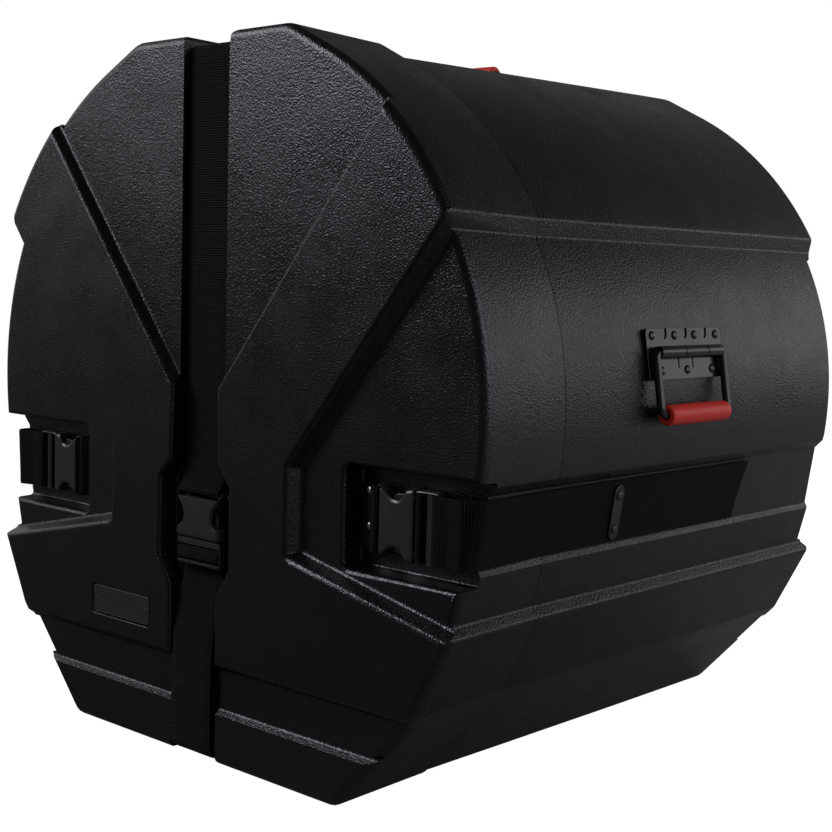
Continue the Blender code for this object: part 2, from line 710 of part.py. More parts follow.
def handle_spring(name, zinc):
    """The torsion spring inside the barrel, a single open coil between the bail's ends."""
    turns, points_per_turn, radius, half = 6, 10, 0.0030, 0.0200
    coil = bpy.data.curves.new(name, "CURVE")
    coil.dimensions = "3D"
    coil.bevel_depth = 0.0006
    coil.bevel_resolution = 0
    coil.use_fill_caps = True
    line = coil.splines.new("POLY")
    count = turns * points_per_turn + 1
    line.points.add(count - 1)
    for i in range(count):
        turn = 2 * math.pi * i / points_per_turn
        x = -half + 2 * half * i / (count - 1)
        y, z = radius * math.cos(turn), radius * math.sin(turn)
        line.points[i].co = (x, y, z + HINGE_HEIGHT, 1.0)
    coil.materials.append(zinc)
    spring = bpy.data.objects.new(name, coil)
    bpy.context.scene.collection.objects.link(spring)
    return spring


def handle_bail(name, steel):
    """The wire bail, turned in at both ends to enter the hinge barrel."""
    half, drop, bend = LEG_SPACING / 2, -LEG_LENGTH, BEND_RADIUS
    right = [(BARREL_HALF - 0.0200, 0.0)]
    right += [(half - 0.0040 + 0.0040 * math.sin(a), -0.0040 + 0.0040 * math.cos(a)) for a in quarter(3)]
    right += [(half - bend + bend * math.cos(a), drop + bend - bend * math.sin(a)) for a in quarter(4)]
    path = right + [(-x, y) for x, y in reversed(right)]
    wire = bpy.data.curves.new(name, "CURVE")
    wire.dimensions = "3D"
    wire.bevel_depth = ROD_RADIUS
    wire.bevel_resolution = 2
    wire.use_fill_caps = True
    line = wire.splines.new("POLY")
    line.points.add(len(path) - 1)
    for point, (x, y) in zip(line.points, path):
        point.co = (x, y, 0.0, 1.0)
    wire.materials.append(steel)
    bail = bpy.data.objects.new(name, wire)
    bpy.context.scene.collection.objects.link(bail)
    return bail


def quarter(steps):
    """Angles of a quarter turn."""
    return [math.pi / 2 * i / steps for i in range(steps + 1)]


def handle_grip(name, rubber):
    """The rubber grip moulded round the bottom of the bail."""
    body = bmesh.new()
    rings = []
    for x, radius in (
        (-GRIP_HALF, GRIP_RADIUS - 0.0016),
        (-GRIP_HALF + 0.0016, GRIP_RADIUS),
        (GRIP_HALF - 0.0016, GRIP_RADIUS),
        (GRIP_HALF, GRIP_RADIUS - 0.0016),
    ):
        rings.append([(x, y - LEG_LENGTH, z) for y, z in circle_points(radius, 16)])
    loft(body, rings)
    grip = add_object(name, body, rubber)
    bore = bmesh.new()
    half, drop, bend = LEG_SPACING / 2, -LEG_LENGTH, BEND_RADIUS
    room = ROD_RADIUS + GAP
    inner, outer = half - bend, GRIP_HALF + 0.01
    ring = circle_points(room, 10)
    loft(bore, [[(x, y + drop, z) for y, z in ring] for x in (-outer, outer)])
    boolean(grip, add_object(f"cut_{name}_bore", bore, None))
    corner = bmesh.new()
    for side in (-1, 1):
        rings = []
        for a in [-0.6] + quarter(5):
            swing = max(a, 0.0)
            x = inner + bend * math.sin(swing) + (a - swing) * bend
            y = drop + bend - bend * math.cos(swing)
            across = Vector((math.sin(swing), -math.cos(swing), 0.0))
            middle = Vector((side * x, y, 0.0))
            way = Vector((side * across.x, across.y, 0.0))
            rings.append([middle + way * u + Vector((0, 0, v)) for u, v in circle_points(room + 0.0001, 8)])
        loft(corner, rings)
    boolean(grip, add_object(f"cut_{name}_corners", corner, None))
    return grip


def make_plate(name, origin, along, outward, zinc):
    """An oblong fixing plate with round ends, held by two rivets through its holes."""
    width, length, thickness = PLATE_SIZE
    half = length / 2 - width / 2
    outline = arc((0.0, half), width / 2, 0.0, math.pi, 6) + arc((0.0, -half), width / 2, math.pi, 2 * math.pi, 6)
    body = bmesh.new()
    rings = []
    for z, inset in ((0.0, 0.0), (thickness - 0.0004, 0.0), (thickness, 0.0004)):
        rings.append([(x, y, z) for x, y in offset(outline, -inset)])
    loft(body, rings)
    plate = place(add_object(f"strap_plate_{name}", body, zinc), origin, along, outward)
    x_axis, z_axis = Vector(along).normalized(), Vector(outward).normalized()
    holes = bmesh.new()
    for side in (-1, 1):
        rise = side * PLATE_RIVET_PITCH / 2
        ring = circle_points(RIVET_SHANK + GAP, 10)
        loft(holes, [[(px, rise + py, z) for px, py in ring] for z in (-0.005, 0.005)])
        seat = Vector(origin) + z_axis.cross(x_axis) * rise + z_axis * (thickness + GAP)
        end = "a" if side > 0 else "b"
        make_rivet(f"strap_rivet_{name}_{end}", seat, outward, along, thickness, zinc)
    boolean(plate, add_object(f"cut_{name}_holes", holes, None))


def side_frame(side):
    """Across and outward directions of the strap channel's floor on one side."""
    run = Vector((CHANNEL_HIGH[0] - CHANNEL_LOW[0], 0.0, CHANNEL_HIGH[1] - CHANNEL_LOW[1])).normalized()
    across = Vector((side * run.x, 0.0, run.z))
    outward = Vector((side * run.z, 0.0, -run.x))
    return across, outward


def channel_point(side, y):
    """The middle of the strap channel's floor at a place along the lid or the tub."""
    share = (STRAP_Z - CHANNEL_LOW[1]) / (CHANNEL_HIGH[1] - CHANNEL_LOW[1])
    x = CHANNEL_LOW[0] + (CHANNEL_HIGH[0] - CHANNEL_LOW[0]) * share
    on_lid = y < SEAM_Y
    growth = LID_GROWTH if on_lid else TUB_GROWTH
    widened = grown([(x, STRAP_Z)], growth, (SEAM_Y - y) / LID_DEPTH if on_lid else 0.0)
    return Vector((side * widened[0][0], y, STRAP_Z))


def make_side_strap(side, web):
    """The webbing down one side, from the ladder in the pocket round the corner to its end."""
    name = "right" if side > 0 else "left"
    lift = WEB_THICKNESS / 2 + 0.0004
    across, outward = side_frame(side)
    up = Vector((0.0, 0.0, 1.0))
    low = GAP + WEB_THICKNESS / 2
    points = []
    for local_x, local_z in ladder_path_over(low):
        points.append((side * (SIDE_MOUTH_X + local_x), FRONT_Y + POCKET_DEPTH - GAP - local_z, STRAP_Z))
    points.append((side * (STRAP_JOIN_X - GAP), FRONT_Y + STRAP_JOIN_DEPTH, STRAP_Z))
    bent_ribbon(f"strap_{name}_front", points, (0.0, 0.0, -side), web)

    edge = channel_point(side, FRONT_Y + POCKET_DEPTH)
    bend = Vector((edge.x - side * 0.0064, FRONT_Y + POCKET_DEPTH - 0.0056, STRAP_Z))
    start = Vector((side * (STRAP_JOIN_X + GAP), FRONT_Y + STRAP_JOIN_DEPTH, STRAP_Z))
    run = (bend - start).normalized()
    facing = up.cross(run) * -side if side < 0 else run.cross(up)
    turned = (facing + outward).normalized()
    stations = [
        (start, up, (facing + Vector((0.0, -1.0, 0.0))).normalized()),
        (start.lerp(bend, 0.55), up, facing),
        (bend, (up * 2 + across).normalized(), (facing * 3 + outward).normalized()),
        (edge + Vector((side * 0.0011, -0.0009, 0.0)), across, turned),
    ]
    for y in (FRONT_Y + POCKET_DEPTH + 0.0045, SEAM_Y - 0.0120):
        stations.append((channel_point(side, y) + outward * lift, across, outward))
    on_tub = channel_point(side, SEAM_Y) + outward * lift
    for y in (SEAM_Y - 0.0020, FRONT_Y + SIDE_STRAP_END):
        stations.append((Vector((on_tub.x, y, on_tub.z)), across, outward))
    ribbon(f"strap_{name}_side", stations, web)


def make_side_tab(side, web, zinc):
    """The short doubled webbing tab that is riveted in the pocket and holds the socket."""
    name = "right" if side > 0 else "left"
    bar = SIDE_MOUTH_X - SOCKET_LENGTH
    slot = bar + 0.0060
    low = GAP + WEB_THICKNESS / 2
    start = POCKET_INNER_X + 0.0045
    points = [(start, low), (bar - 0.004, low), (slot - 0.0012, low + 0.0004), (slot, low + 0.0022)]
    high = BUCKLE_HIGH + WEB_THICKNESS / 2 + GAP
    points += [(slot, high - 0.0016), (slot - 0.0010, high), (bar - 0.0004, high), (bar - 0.0018, high - 0.0012)]
    points += [(bar - 0.0022, low + 0.0060), (bar - 0.0036, low + 0.0036), (bar - 0.0058, low + 0.0030)]
    points.append((start, low + 0.0030))
    path = [(side * x, FRONT_Y + POCKET_DEPTH - GAP - z, STRAP_Z) for x, z in points]
    bent_ribbon(f"buckle_{name}_tab", path, (0.0, 0.0, -side), web)
    top = low + 0.0030 + WEB_THICKNESS / 2 + GAP
    for rise, end in ((0.0200, "a"), (-0.0065, "b")):
        seat = (side * (start + 0.0087), FRONT_Y + POCKET_DEPTH - GAP - top, STRAP_Z + rise)
        make_rivet(f"tab_rivet_{name}_{end}", seat, (0.0, -1.0, 0.0), (1.0, 0.0, 0.0), 0.0, zinc)


def face_corner(y, z, turn_from, turn_to, radius, steps):
    """Points round a bend in the (y, z) plane about a centre."""
    turns = [turn_from + (turn_to - turn_from) * i / steps for i in range(steps + 1)]
    return [(0.0, y + radius * math.cos(a), z + radius * math.sin(a)) for a in turns]


def make_centre_straps(web):
    """The strap over the lid: the upper half to the socket, the lower half from the plug."""
    lift = WEB_THICKNESS / 2 + 0.0005
    face = FRONT_Y + GROOVE_DEPTH - lift
    socket_base = FRONT_Y + GROOVE_DEPTH - GAP
    lid_top = 0.5780 + lift
    radius = 0.0018
    bend_y, bend_z = face + radius, lid_top - radius
    bar_z = CENTRE_MOUTH_Z + SOCKET_LENGTH
    slot_z = bar_z - 0.0060
    low = GAP + WEB_THICKNESS / 2
    high = BUCKLE_HIGH + WEB_THICKNESS / 2 + GAP
    local = [(bar_z + 0.0240, low + 0.0030), (bar_z + 0.0058, low + 0.0030), (bar_z + 0.0036, low + 0.0036)]
    local += [(bar_z + 0.0022, low + 0.0060), (bar_z + 0.0018, high - 0.0012), (bar_z + 0.0004, high)]
    local.append((slot_z + 0.0010, high))
    local += [(slot_z, high - 0.0016), (slot_z, low + 0.0022), (slot_z + 0.0012, low + 0.0004), (bar_z + 0.004, low)]
    points = [(0.0, socket_base - depth, z) for z, depth in local]
    points.append((0.0, face, 0.500))
    points += face_corner(bend_y, bend_z, math.pi, math.pi / 2, radius, 2)
    tub = lambda y: tub_top_height(y) + lift + 0.0001
    points += [(0.0, SEAM_Y - 0.0005, lid_top), (0.0, SEAM_Y + 0.0060, lid_top - 0.0012)]
    points += [(0.0, SEAM_Y + 0.0180, tub(SEAM_Y + 0.0180) + 0.0012), (0.0, SEAM_Y + 0.0240, tub(SEAM_Y + 0.0240))]
    end = FRONT_Y + TOP_STRAP_END
    points.append((0.0, end, tub(end)))
    bent_ribbon("strap_centre_upper", points, (-1.0, 0.0, 0.0), web)

    floor_z = 0.0090 - lift
    split = 0.0230
    points = []
    for local_x, local_z in ladder_path(low):
        points.append((0.0, socket_base - local_z, CENTRE_MOUTH_Z - local_x))
    points.append((0.0, face, split + GAP))
    bent_ribbon("strap_centre_lower", points, (1.0, 0.0, 0.0), web)
    bend_y, bend_z = face + radius, floor_z + radius
    points = [(0.0, face, split - GAP)]
    points += face_corner(bend_y, bend_z, math.pi, 1.5 * math.pi, radius, 2)
    points += [(0.0, SEAM_Y - 0.004, floor_z), (0.0, SEAM_Y + 0.004, floor_z), (0.0, end, floor_z)]
    bent_ribbon("strap_centre_bottom", points, (1.0, 0.0, 0.0), web)


def make_strap_plates(zinc):
    """Oblong plates that hold the four strap ends to the tub."""
    y = FRONT_Y + PLATE_FROM_FRONT
    lift = WEB_THICKNESS + 0.0004 + GAP
    for side, name in ((1, "right"), (-1, "left")):
        across, outward = side_frame(side)
        origin = channel_point(side, y) + outward * lift
        make_plate(name, origin, across.cross(outward), outward, zinc)
    slope = (TUB_TOP_AT_BACK - TUB_TOP_AT_SEAM) / (BACK_Y - SEAM_Y)
    top = (0.0, y, tub_top_height(y) + WEB_THICKNESS + 3 * GAP)
    up = (0.0, -slope, 1.0)
    make_plate("top", top, (0.0, 1.0, slope), up, zinc)
    under = (0.0, y, 0.0090 - WEB_THICKNESS - 3 * GAP)
    make_plate("bottom", under, (0.0, 1.0, 0.0), (0.0, 0.0, -1.0), zinc)


def make_buckles(plastic, web, zinc):
    """Three side release buckles: one down each side pocket and one in the centre bay."""
    for side, name in ((1, "right"), (-1, "left")):
        origin = (side * SIDE_MOUTH_X, FRONT_Y + POCKET_DEPTH - GAP, STRAP_Z)
        for piece in (make_socket(f"buckle_{name}_socket", plastic), make_plug(f"buckle_{name}_plug", plastic)):
            place(piece, origin, (side, 0.0, 0.0), (0.0, -1.0, 0.0))
        make_side_tab(side, web, zinc)
    origin = (0.0, FRONT_Y + GROOVE_DEPTH - GAP, CENTRE_MOUTH_Z)
    for piece in (make_socket("buckle_centre_socket", plastic), make_plug("buckle_centre_plug", plastic)):
        place(piece, origin, (0.0, 0.0, -1.0), (0.0, -1.0, 0.0))


def make_handles(finishes):
    """A handle on each side, hanging down, and one across the top, lying back."""
    lean = math.asin((SIDE_HANDLE_Z - PANEL_CENTRE[1]) / PANEL_RADIUS)
    seat = PANEL_RADIUS + 0.0002
    y = FRONT_Y + SIDE_HANDLE_Y
    for side, name in ((1, "right"), (-1, "left")):
        outward = Vector((side * math.cos(lean), 0.0, math.sin(lean)))
        reach = seat * math.cos(lean) * (1 + TUB_GROWTH[0][0])
        origin = Vector((side * reach, y, PANEL_CENTRE[1] + seat * math.sin(lean)))
        make_handle(name, origin, (0.0, side, 0.0), outward, 0.0, finishes)
    slope = (TUB_TOP_AT_BACK - TUB_TOP_AT_SEAM) / (BACK_Y - SEAM_Y)
    y = FRONT_Y + TOP_HANDLE_Y
    origin = (0.0, y, tub_top_height(y))
    make_handle("top", origin, (-1.0, 0.0, 0.0), (0.0, -slope, 1.0), TOP_HANDLE_REST, finishes)


def main():
    """Builds the whole case in an empty scene."""
    for old in list(bpy.data.objects):
        bpy.data.objects.remove(old)
    shell = new_material("moulded_polyethylene", (0.016, 0.016, 0.018), 0.42)
    foam = new_material("closed_cell_foam", (0.035, 0.035, 0.037), 0.95)
    webbing = new_material("nylon_webbing", (0.014, 0.014, 0.016), 0.80)
    acetal = new_material("acetal", (0.020, 0.020, 0.022), 0.30)
    steel = new_material("black_coated_steel", (0.018, 0.018, 0.020), 0.35, 0.6)
    zinc = new_material("zinc_plated_steel", (0.42, 0.42, 0.43), 0.38, 1.0)
    rubber = new_material("red_rubber", (0.62, 0.030, 0.014), 0.50)
    make_lid(shell)
    make_tub(shell)
    make_padding(foam)
    make_badge(acetal)
    make_centre_straps(webbing)
    for side in (1, -1):
        make_side_strap(side, webbing)
    make_buckles(acetal, webbing, zinc)
    make_strap_plates(zinc)
    make_handles((steel, rubber, zinc))


main()
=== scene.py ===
"""Bass drum case: a moulded tub and lid, strapped shut, with three sprung red-grip handles.

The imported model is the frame. This script dresses it with finer shells, webbing, buckles and
handles, lights it softly on a pale floor, and looks at it from the photograph's angle.
"""

import logging
import math
from dataclasses import dataclass
from enum import Enum
from typing import Sequence

import bmesh
import bpy
from mathutils import Matrix, Vector


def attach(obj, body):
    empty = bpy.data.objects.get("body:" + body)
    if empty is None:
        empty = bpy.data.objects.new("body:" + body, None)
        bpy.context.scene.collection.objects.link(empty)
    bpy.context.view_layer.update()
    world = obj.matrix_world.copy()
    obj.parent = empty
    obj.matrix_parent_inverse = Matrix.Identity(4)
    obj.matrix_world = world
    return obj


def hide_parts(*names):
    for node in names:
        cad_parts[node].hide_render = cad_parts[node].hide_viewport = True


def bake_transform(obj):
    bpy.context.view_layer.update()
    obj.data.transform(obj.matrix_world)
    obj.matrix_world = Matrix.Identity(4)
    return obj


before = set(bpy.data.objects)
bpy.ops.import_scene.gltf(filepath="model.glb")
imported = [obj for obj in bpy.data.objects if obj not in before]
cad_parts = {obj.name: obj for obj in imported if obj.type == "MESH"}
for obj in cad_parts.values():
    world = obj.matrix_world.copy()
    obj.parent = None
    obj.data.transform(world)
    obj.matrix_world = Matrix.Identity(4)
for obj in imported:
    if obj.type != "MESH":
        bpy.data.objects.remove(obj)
LOG = logging.getLogger("drum_case")

Flat = tuple[float, float]
Outline = list[Flat]
Ring = list[Vector]
Growth = tuple[tuple[float, float], tuple[float, float]]
Station = tuple[Vector, Vector, Vector]

ACROSS = Vector((1.0, 0.0, 0.0))
FRONT = Vector((0.0, -1.0, 0.0))
UP = Vector((0.0, 0.0, 1.0))

CASE_DEPTH = 0.540
LID_DEPTH = 0.110
POCKET_DEPTH = 0.032
GROOVE_DEPTH = 0.017
GROOVE_HALF = 0.0285
FRONT_Y = -CASE_DEPTH / 2
BACK_Y = CASE_DEPTH / 2
SEAM_Y = FRONT_Y + LID_DEPTH
POCKET_FLOOR_Y = FRONT_Y + POCKET_DEPTH
GROOVE_FLOOR_Y = FRONT_Y + GROOVE_DEPTH
# Floors of the strap's groove over and under the case
TOP_GROOVE_Z = 0.5780
UNDER_GROOVE_Z = 0.0090
# Height of the side straps, and the places where the plugs enter their sockets
STRAP_Z = 0.2205
MOUTH_X = 0.2225
MOUTH_Z = 0.1825
# Room under a buckle, and the room that each shell leaves at the seam
SEAT = 0.0003
SEAM_GAP = 0.00005
BADGE_CENTRE = (-0.0950, 0.1120)
# Shares by which each shell is wider and taller, at the seam and at its end face
LID_GROWTH: Growth = ((0.0, 0.0), (0.0220, 0.0040))
TUB_GROWTH: Growth = ((0.0006, 0.0), (0.0045, 0.0))
# The two bodies and the two places given for the webbing over the seam; the strap is baked in place and
# attached to neither
SEAM_BEND = ("tub", "lid", (0.0, -0.0820, 0.0), (0.0, -0.1580, 0.0))


class End(Enum):
    """Which end face a depth is measured from."""

    FRONT = "front"
    BACK = "back"

    def world_y(self, depth: float) -> float:
        """World Y of a place that lies behind this end face.

        Args:
            depth: Distance behind the raised arms of the face.

        Returns:
            The place's Y in metres.
        """
        return FRONT_Y + depth if self is End.FRONT else BACK_Y - depth


class Side(Enum):
    """A side of the case, by the sign of X."""

    RIGHT = 1
    LEFT = -1

    @property
    def word(self) -> str:
        """The side's name in the names of pieces."""
        return self.name.lower()


class Fuse(Enum):
    """What a tool does to the piece that it meets."""

    CUT = "DIFFERENCE"
    JOIN = "UNION"


# Hand tools: each works on the active piece, as in the viewport


def deselect() -> None:
    """Leaves object mode ready, with nothing selected."""
    if bpy.context.object and bpy.context.object.mode != "OBJECT":
        bpy.ops.object.mode_set(mode="OBJECT")
    bpy.ops.object.select_all(action="DESELECT")


def pick(piece: bpy.types.Object) -> bpy.types.Object:
    """Selects one piece alone and makes it active.

    Args:
        piece: The piece to work on.

    Returns:
        The same piece.
    """
    deselect()
    piece.select_set(True)
    bpy.context.view_layer.objects.active = piece
    return piece


def loft(name: str, rings: Sequence[Ring], weave: Sequence[Ring] | None = None) -> bpy.types.Object:
    """Extrudes one cap from ring to ring, so that each ring of points becomes a section.

    Args:
        name: Name of the new piece.
        rings: Rings with the same number of points each.
        weave: Place of every point on the flat cloth, kept as the attribute "weave".

    Returns:
        The closed body.
    """
    deselect()
    count = len(rings[0])
    bpy.ops.mesh.primitive_circle_add(vertices=count, radius=1.0, fill_type="NGON")
    piece = bpy.context.object
    piece.name = name
    piece.data.name = name
    piece.data.attributes.new("order", "INT", "POINT")
    piece.data.attributes.new("weave", "FLOAT_VECTOR", "POINT")
    for i, point in enumerate(rings[0]):
        piece.data.attributes["order"].data[i].value = i
        piece.data.attributes["weave"].data[i].vector = weave[0][i] if weave else (0, 0, 0)
        piece.data.vertices[i].co = point
    bpy.ops.object.mode_set(mode="EDIT")
    bpy.ops.mesh.select_all(action="SELECT")
    for step, ring in enumerate(rings[1:], 1):
        bpy.ops.mesh.extrude_region_move()
        body = bmesh.from_edit_mesh(piece.data)
        layer = body.verts.layers.int["order"]
        flat = body.verts.layers.float_vector["weave"]
        for vertex in body.verts:
            if vertex.select:
                vertex.co = ring[vertex[layer]]
                if weave:
                    vertex[flat] = weave[step][vertex[layer]]
        bmesh.update_edit_mesh(piece.data)
    bpy.ops.mesh.select_all(action="SELECT")
    bpy.ops.mesh.normals_make_consistent(inside=False)
    bpy.ops.object.mode_set(mode="OBJECT")
    piece.data.attributes.remove(piece.data.attributes["order"])
    if weave is None:
        piece.data.attributes.remove(piece.data.attributes["weave"])
    return piece


def fuse(piece: bpy.types.Object, tool: bpy.types.Object, how: Fuse = Fuse.CUT) -> None:
    """Applies a Boolean between a piece and a tool, and throws the tool away.

    Args:
        piece: The piece that stays.
        tool: The piece that is used up.
        how: Whether the tool cuts or joins.
    """
    pick(piece)
    bpy.ops.object.modifier_add(type="BOOLEAN")
    step = piece.modifiers[-1]
    step.operation = how.value
    step.solver = "EXACT"
    step.object = tool
    bpy.ops.object.modifier_apply(modifier=step.name)
    bpy.data.objects.remove(tool)


def tidy(piece: bpy.types.Object, merge: float = 0.00003, flat: float = 0.25) -> bpy.types.Object:
    """Merges what a Boolean leaves doubled and clears the lines it leaves in flat faces.

    Args:
        piece: The piece to clean.
        merge: Distance under which points are one.
        flat: Angle in degrees under which two faces are one.

    Returns:
        The same piece.
    """
    pick(piece)
    bpy.ops.object.mode_set(mode="EDIT")
    bpy.ops.mesh.select_all(action="SELECT")
    bpy.ops.mesh.remove_doubles(threshold=merge)
    bpy.ops.mesh.dissolve_degenerate(threshold=0.00001)
    bpy.ops.mesh.dissolve_limited(angle_limit=math.radians(flat))
    bpy.ops.object.mode_set(mode="OBJECT")
    return piece


def soften(piece: bpy.types.Object, width: float, segments: int = 2, angle: float = 35.0) -> bpy.types.Object:
    """Rounds the edges that are sharper than an angle.

    Args:
        piece: The piece to work on.
        width: Width of the rounding.
        segments: Steps across it.
        angle: Edges sharper than this, in degrees, are rounded.

    Returns:
        The same piece.
    """
    pick(piece)
    bpy.ops.object.modifier_add(type="BEVEL")
    step = piece.modifiers[-1]
    step.width = width
    step.segments = segments
    step.limit_method = "ANGLE"
    step.angle_limit = math.radians(angle)
    step.use_clamp_overlap = True
    step.harden_normals = False
    bpy.ops.object.modifier_apply(modifier=step.name)
    return piece


def smooth(piece: bpy.types.Object, angle: float = 35.0, weighted: bool = True) -> bpy.types.Object:
    """Shades a piece smooth, keeping sharp edges and flat faces.

    Args:
        piece: The piece to shade.
        angle: Edges sharper than this, in degrees, stay sharp.
        weighted: Whether large faces pull the shading flat.

    Returns:
        The same piece.
    """
    pick(piece)
    bpy.ops.object.shade_smooth_by_angle(angle=math.radians(angle))
    if weighted:
        bpy.ops.object.modifier_add(type="WEIGHTED_NORMAL")
        step = piece.modifiers[-1]
        step.keep_sharp = True
        step.weight = 100
        bpy.ops.object.modifier_apply(modifier=step.name)
    return piece


# Drawing: outlines in the plane of an end face


def arc(centre: Flat, radius: float, start: float, end: float, steps: int) -> Outline:
    """Points along an arc, both ends included.

    Args:
        centre: Middle of the arc.
        radius: Its radius.
        start: First angle in radians.
        end: Last angle in radians.
        steps: Number of steps between them.

    Returns:
        The points.
    """
    turns = [start + (end - start) * i / steps for i in range(steps + 1)]
    return [(centre[0] + radius * math.cos(a), centre[1] + radius * math.sin(a)) for a in turns]


def circle(radius: float, count: int) -> Outline:
    """Even points round a circle."""
    return arc((0.0, 0.0), radius, 0.0, 2 * math.pi, count)[:-1]


def mirrored(half: Outline) -> Outline:
    """Closes a right half with its mirror image."""
    return half + [(-x, z) for x, z in reversed(half)]


def square(low: Sequence[float], high: Sequence[float]) -> Outline:
    """The four corners between a low and a high one, anticlockwise."""
    return [(low[0], low[1]), (high[0], low[1]), (high[0], high[1]), (low[0], high[1])]


def offset(outline: Outline, distance: float) -> Outline:
    """Moves the sides of an anticlockwise outline outwards, keeping its corners sharp.

    Args:
        outline: The outline.
        distance: How far its sides move; negative moves them in.

    Returns:
        The new outline.
    """
    moved: Outline = []
    count = len(outline)
    for i in range(count):
        before, here, after = (Vector(outline[(i + k) % count]) for k in (-1, 0, 1))
        first = (here - before).normalized()
        second = (after - here).normalized()
        normal_a = Vector((first.y, -first.x))
        normal_b = Vector((second.y, -second.x))
        moved.append(tuple(here + (normal_a + normal_b) * distance / (1 + normal_a.dot(normal_b))))
    return moved


def rounded(outline: Outline, radii: Sequence[float], steps: int = 4) -> Outline:
    """Rounds the corners of an outline, each with its own radius.

    Args:
        outline: The outline with sharp corners.
        radii: One radius for each corner; zero leaves a corner as one point.
        steps: Steps along each rounded corner.

    Returns:
        The rounded outline.
    """
    result: Outline = []
    count = len(outline)
    for i in range(count):
        before, here, after = (Vector(outline[(i + k) % count]) for k in (-1, 0, 1))
        if radii[i] <= 0:
            result.append(tuple(here))
            continue
        back, ahead = before - here, after - here
        half = back.angle(ahead) / 2
        reach = min(radii[i] / math.tan(half), 0.45 * back.length, 0.45 * ahead.length)
        radius = reach * math.tan(half)
        start = here + back.normalized() * reach
        centre = here + (back.normalized() + ahead.normalized()).normalized() * radius / math.sin(half)
        spoke = start - centre
        turn = math.pi - 2 * half
        way = 1 if back.normalized().cross(ahead.normalized()) < 0 else -1
        for k in range(steps + 1):
            angle = way * turn * k / steps
            cos, sin = math.cos(angle), math.sin(angle)
            across = centre.x + spoke.x * cos - spoke.y * sin
            up = centre.y + spoke.x * sin + spoke.y * cos
            result.append((across, up))
    return result


@dataclass(frozen=True)
class Sunken:
    """A place on an end face that lies lower, with a sloping wall rounded above and below."""

    name: str
    outline: Outline
    radii: tuple[float, ...]
    depth: float
    run: float = 0.0045
    top_radius: float = 0.0045
    foot_radius: float = 0.0030
    floor: float | None = None

    def profile(self, steps: int = 5) -> list[tuple[float, float]]:
        """Sideways reach and depth down the wall, from the face to the foot.

        Args:
            steps: Steps along each rounding.

        Returns:
            Pairs of outward reach and depth.
        """
        steep = math.atan2(self.depth, self.run)
        top = self.top_radius * math.tan(steep / 2)
        foot = self.foot_radius * math.tan(steep / 2)
        pairs = [(top, -0.002)]
        for k in range(steps + 1):
            a = steep * k / steps
            pairs.append((top - self.top_radius * math.sin(a), self.top_radius * (1 - math.cos(a))))
        for k in range(steps + 1):
            a = steep * (1 - k / steps)
            reach = -self.run - foot + self.foot_radius * math.sin(a)
            pairs.append((reach, self.depth - self.foot_radius * (1 - math.cos(a))))
        if self.floor is not None:
            pairs.append((-self.run - foot, self.floor))
        return pairs

    def ring(self, reach: float) -> Outline:
        """The outline at one step of the wall, its corners rounded to suit.

        Args:
            reach: How far outwards the step lies.

        Returns:
            The outline there.
        """
        moved = offset(self.outline, reach)
        radii = []
        count = len(self.outline)
        for i, radius in enumerate(self.radii):
            before, here, after = (Vector(self.outline[(i + k) % count]) for k in (-1, 0, 1))
            convex = (here - before).cross(after - here) > 0
            radii.append(max(radius + (reach if convex else -reach), 0.0012) if radius > 0 else 0.0)
        return rounded(moved, radii)

    def tool(self, end: End) -> bpy.types.Object:
        """The cutter for this place on one end face.

        Args:
            end: The end face that it cuts.

        Returns:
            The cutter.
        """
        rings = []
        for reach, depth in self.profile():
            rings.append([Vector((x, end.world_y(depth), z)) for x, z in self.ring(reach)])
        return loft(f"tool_{self.name}", rings)


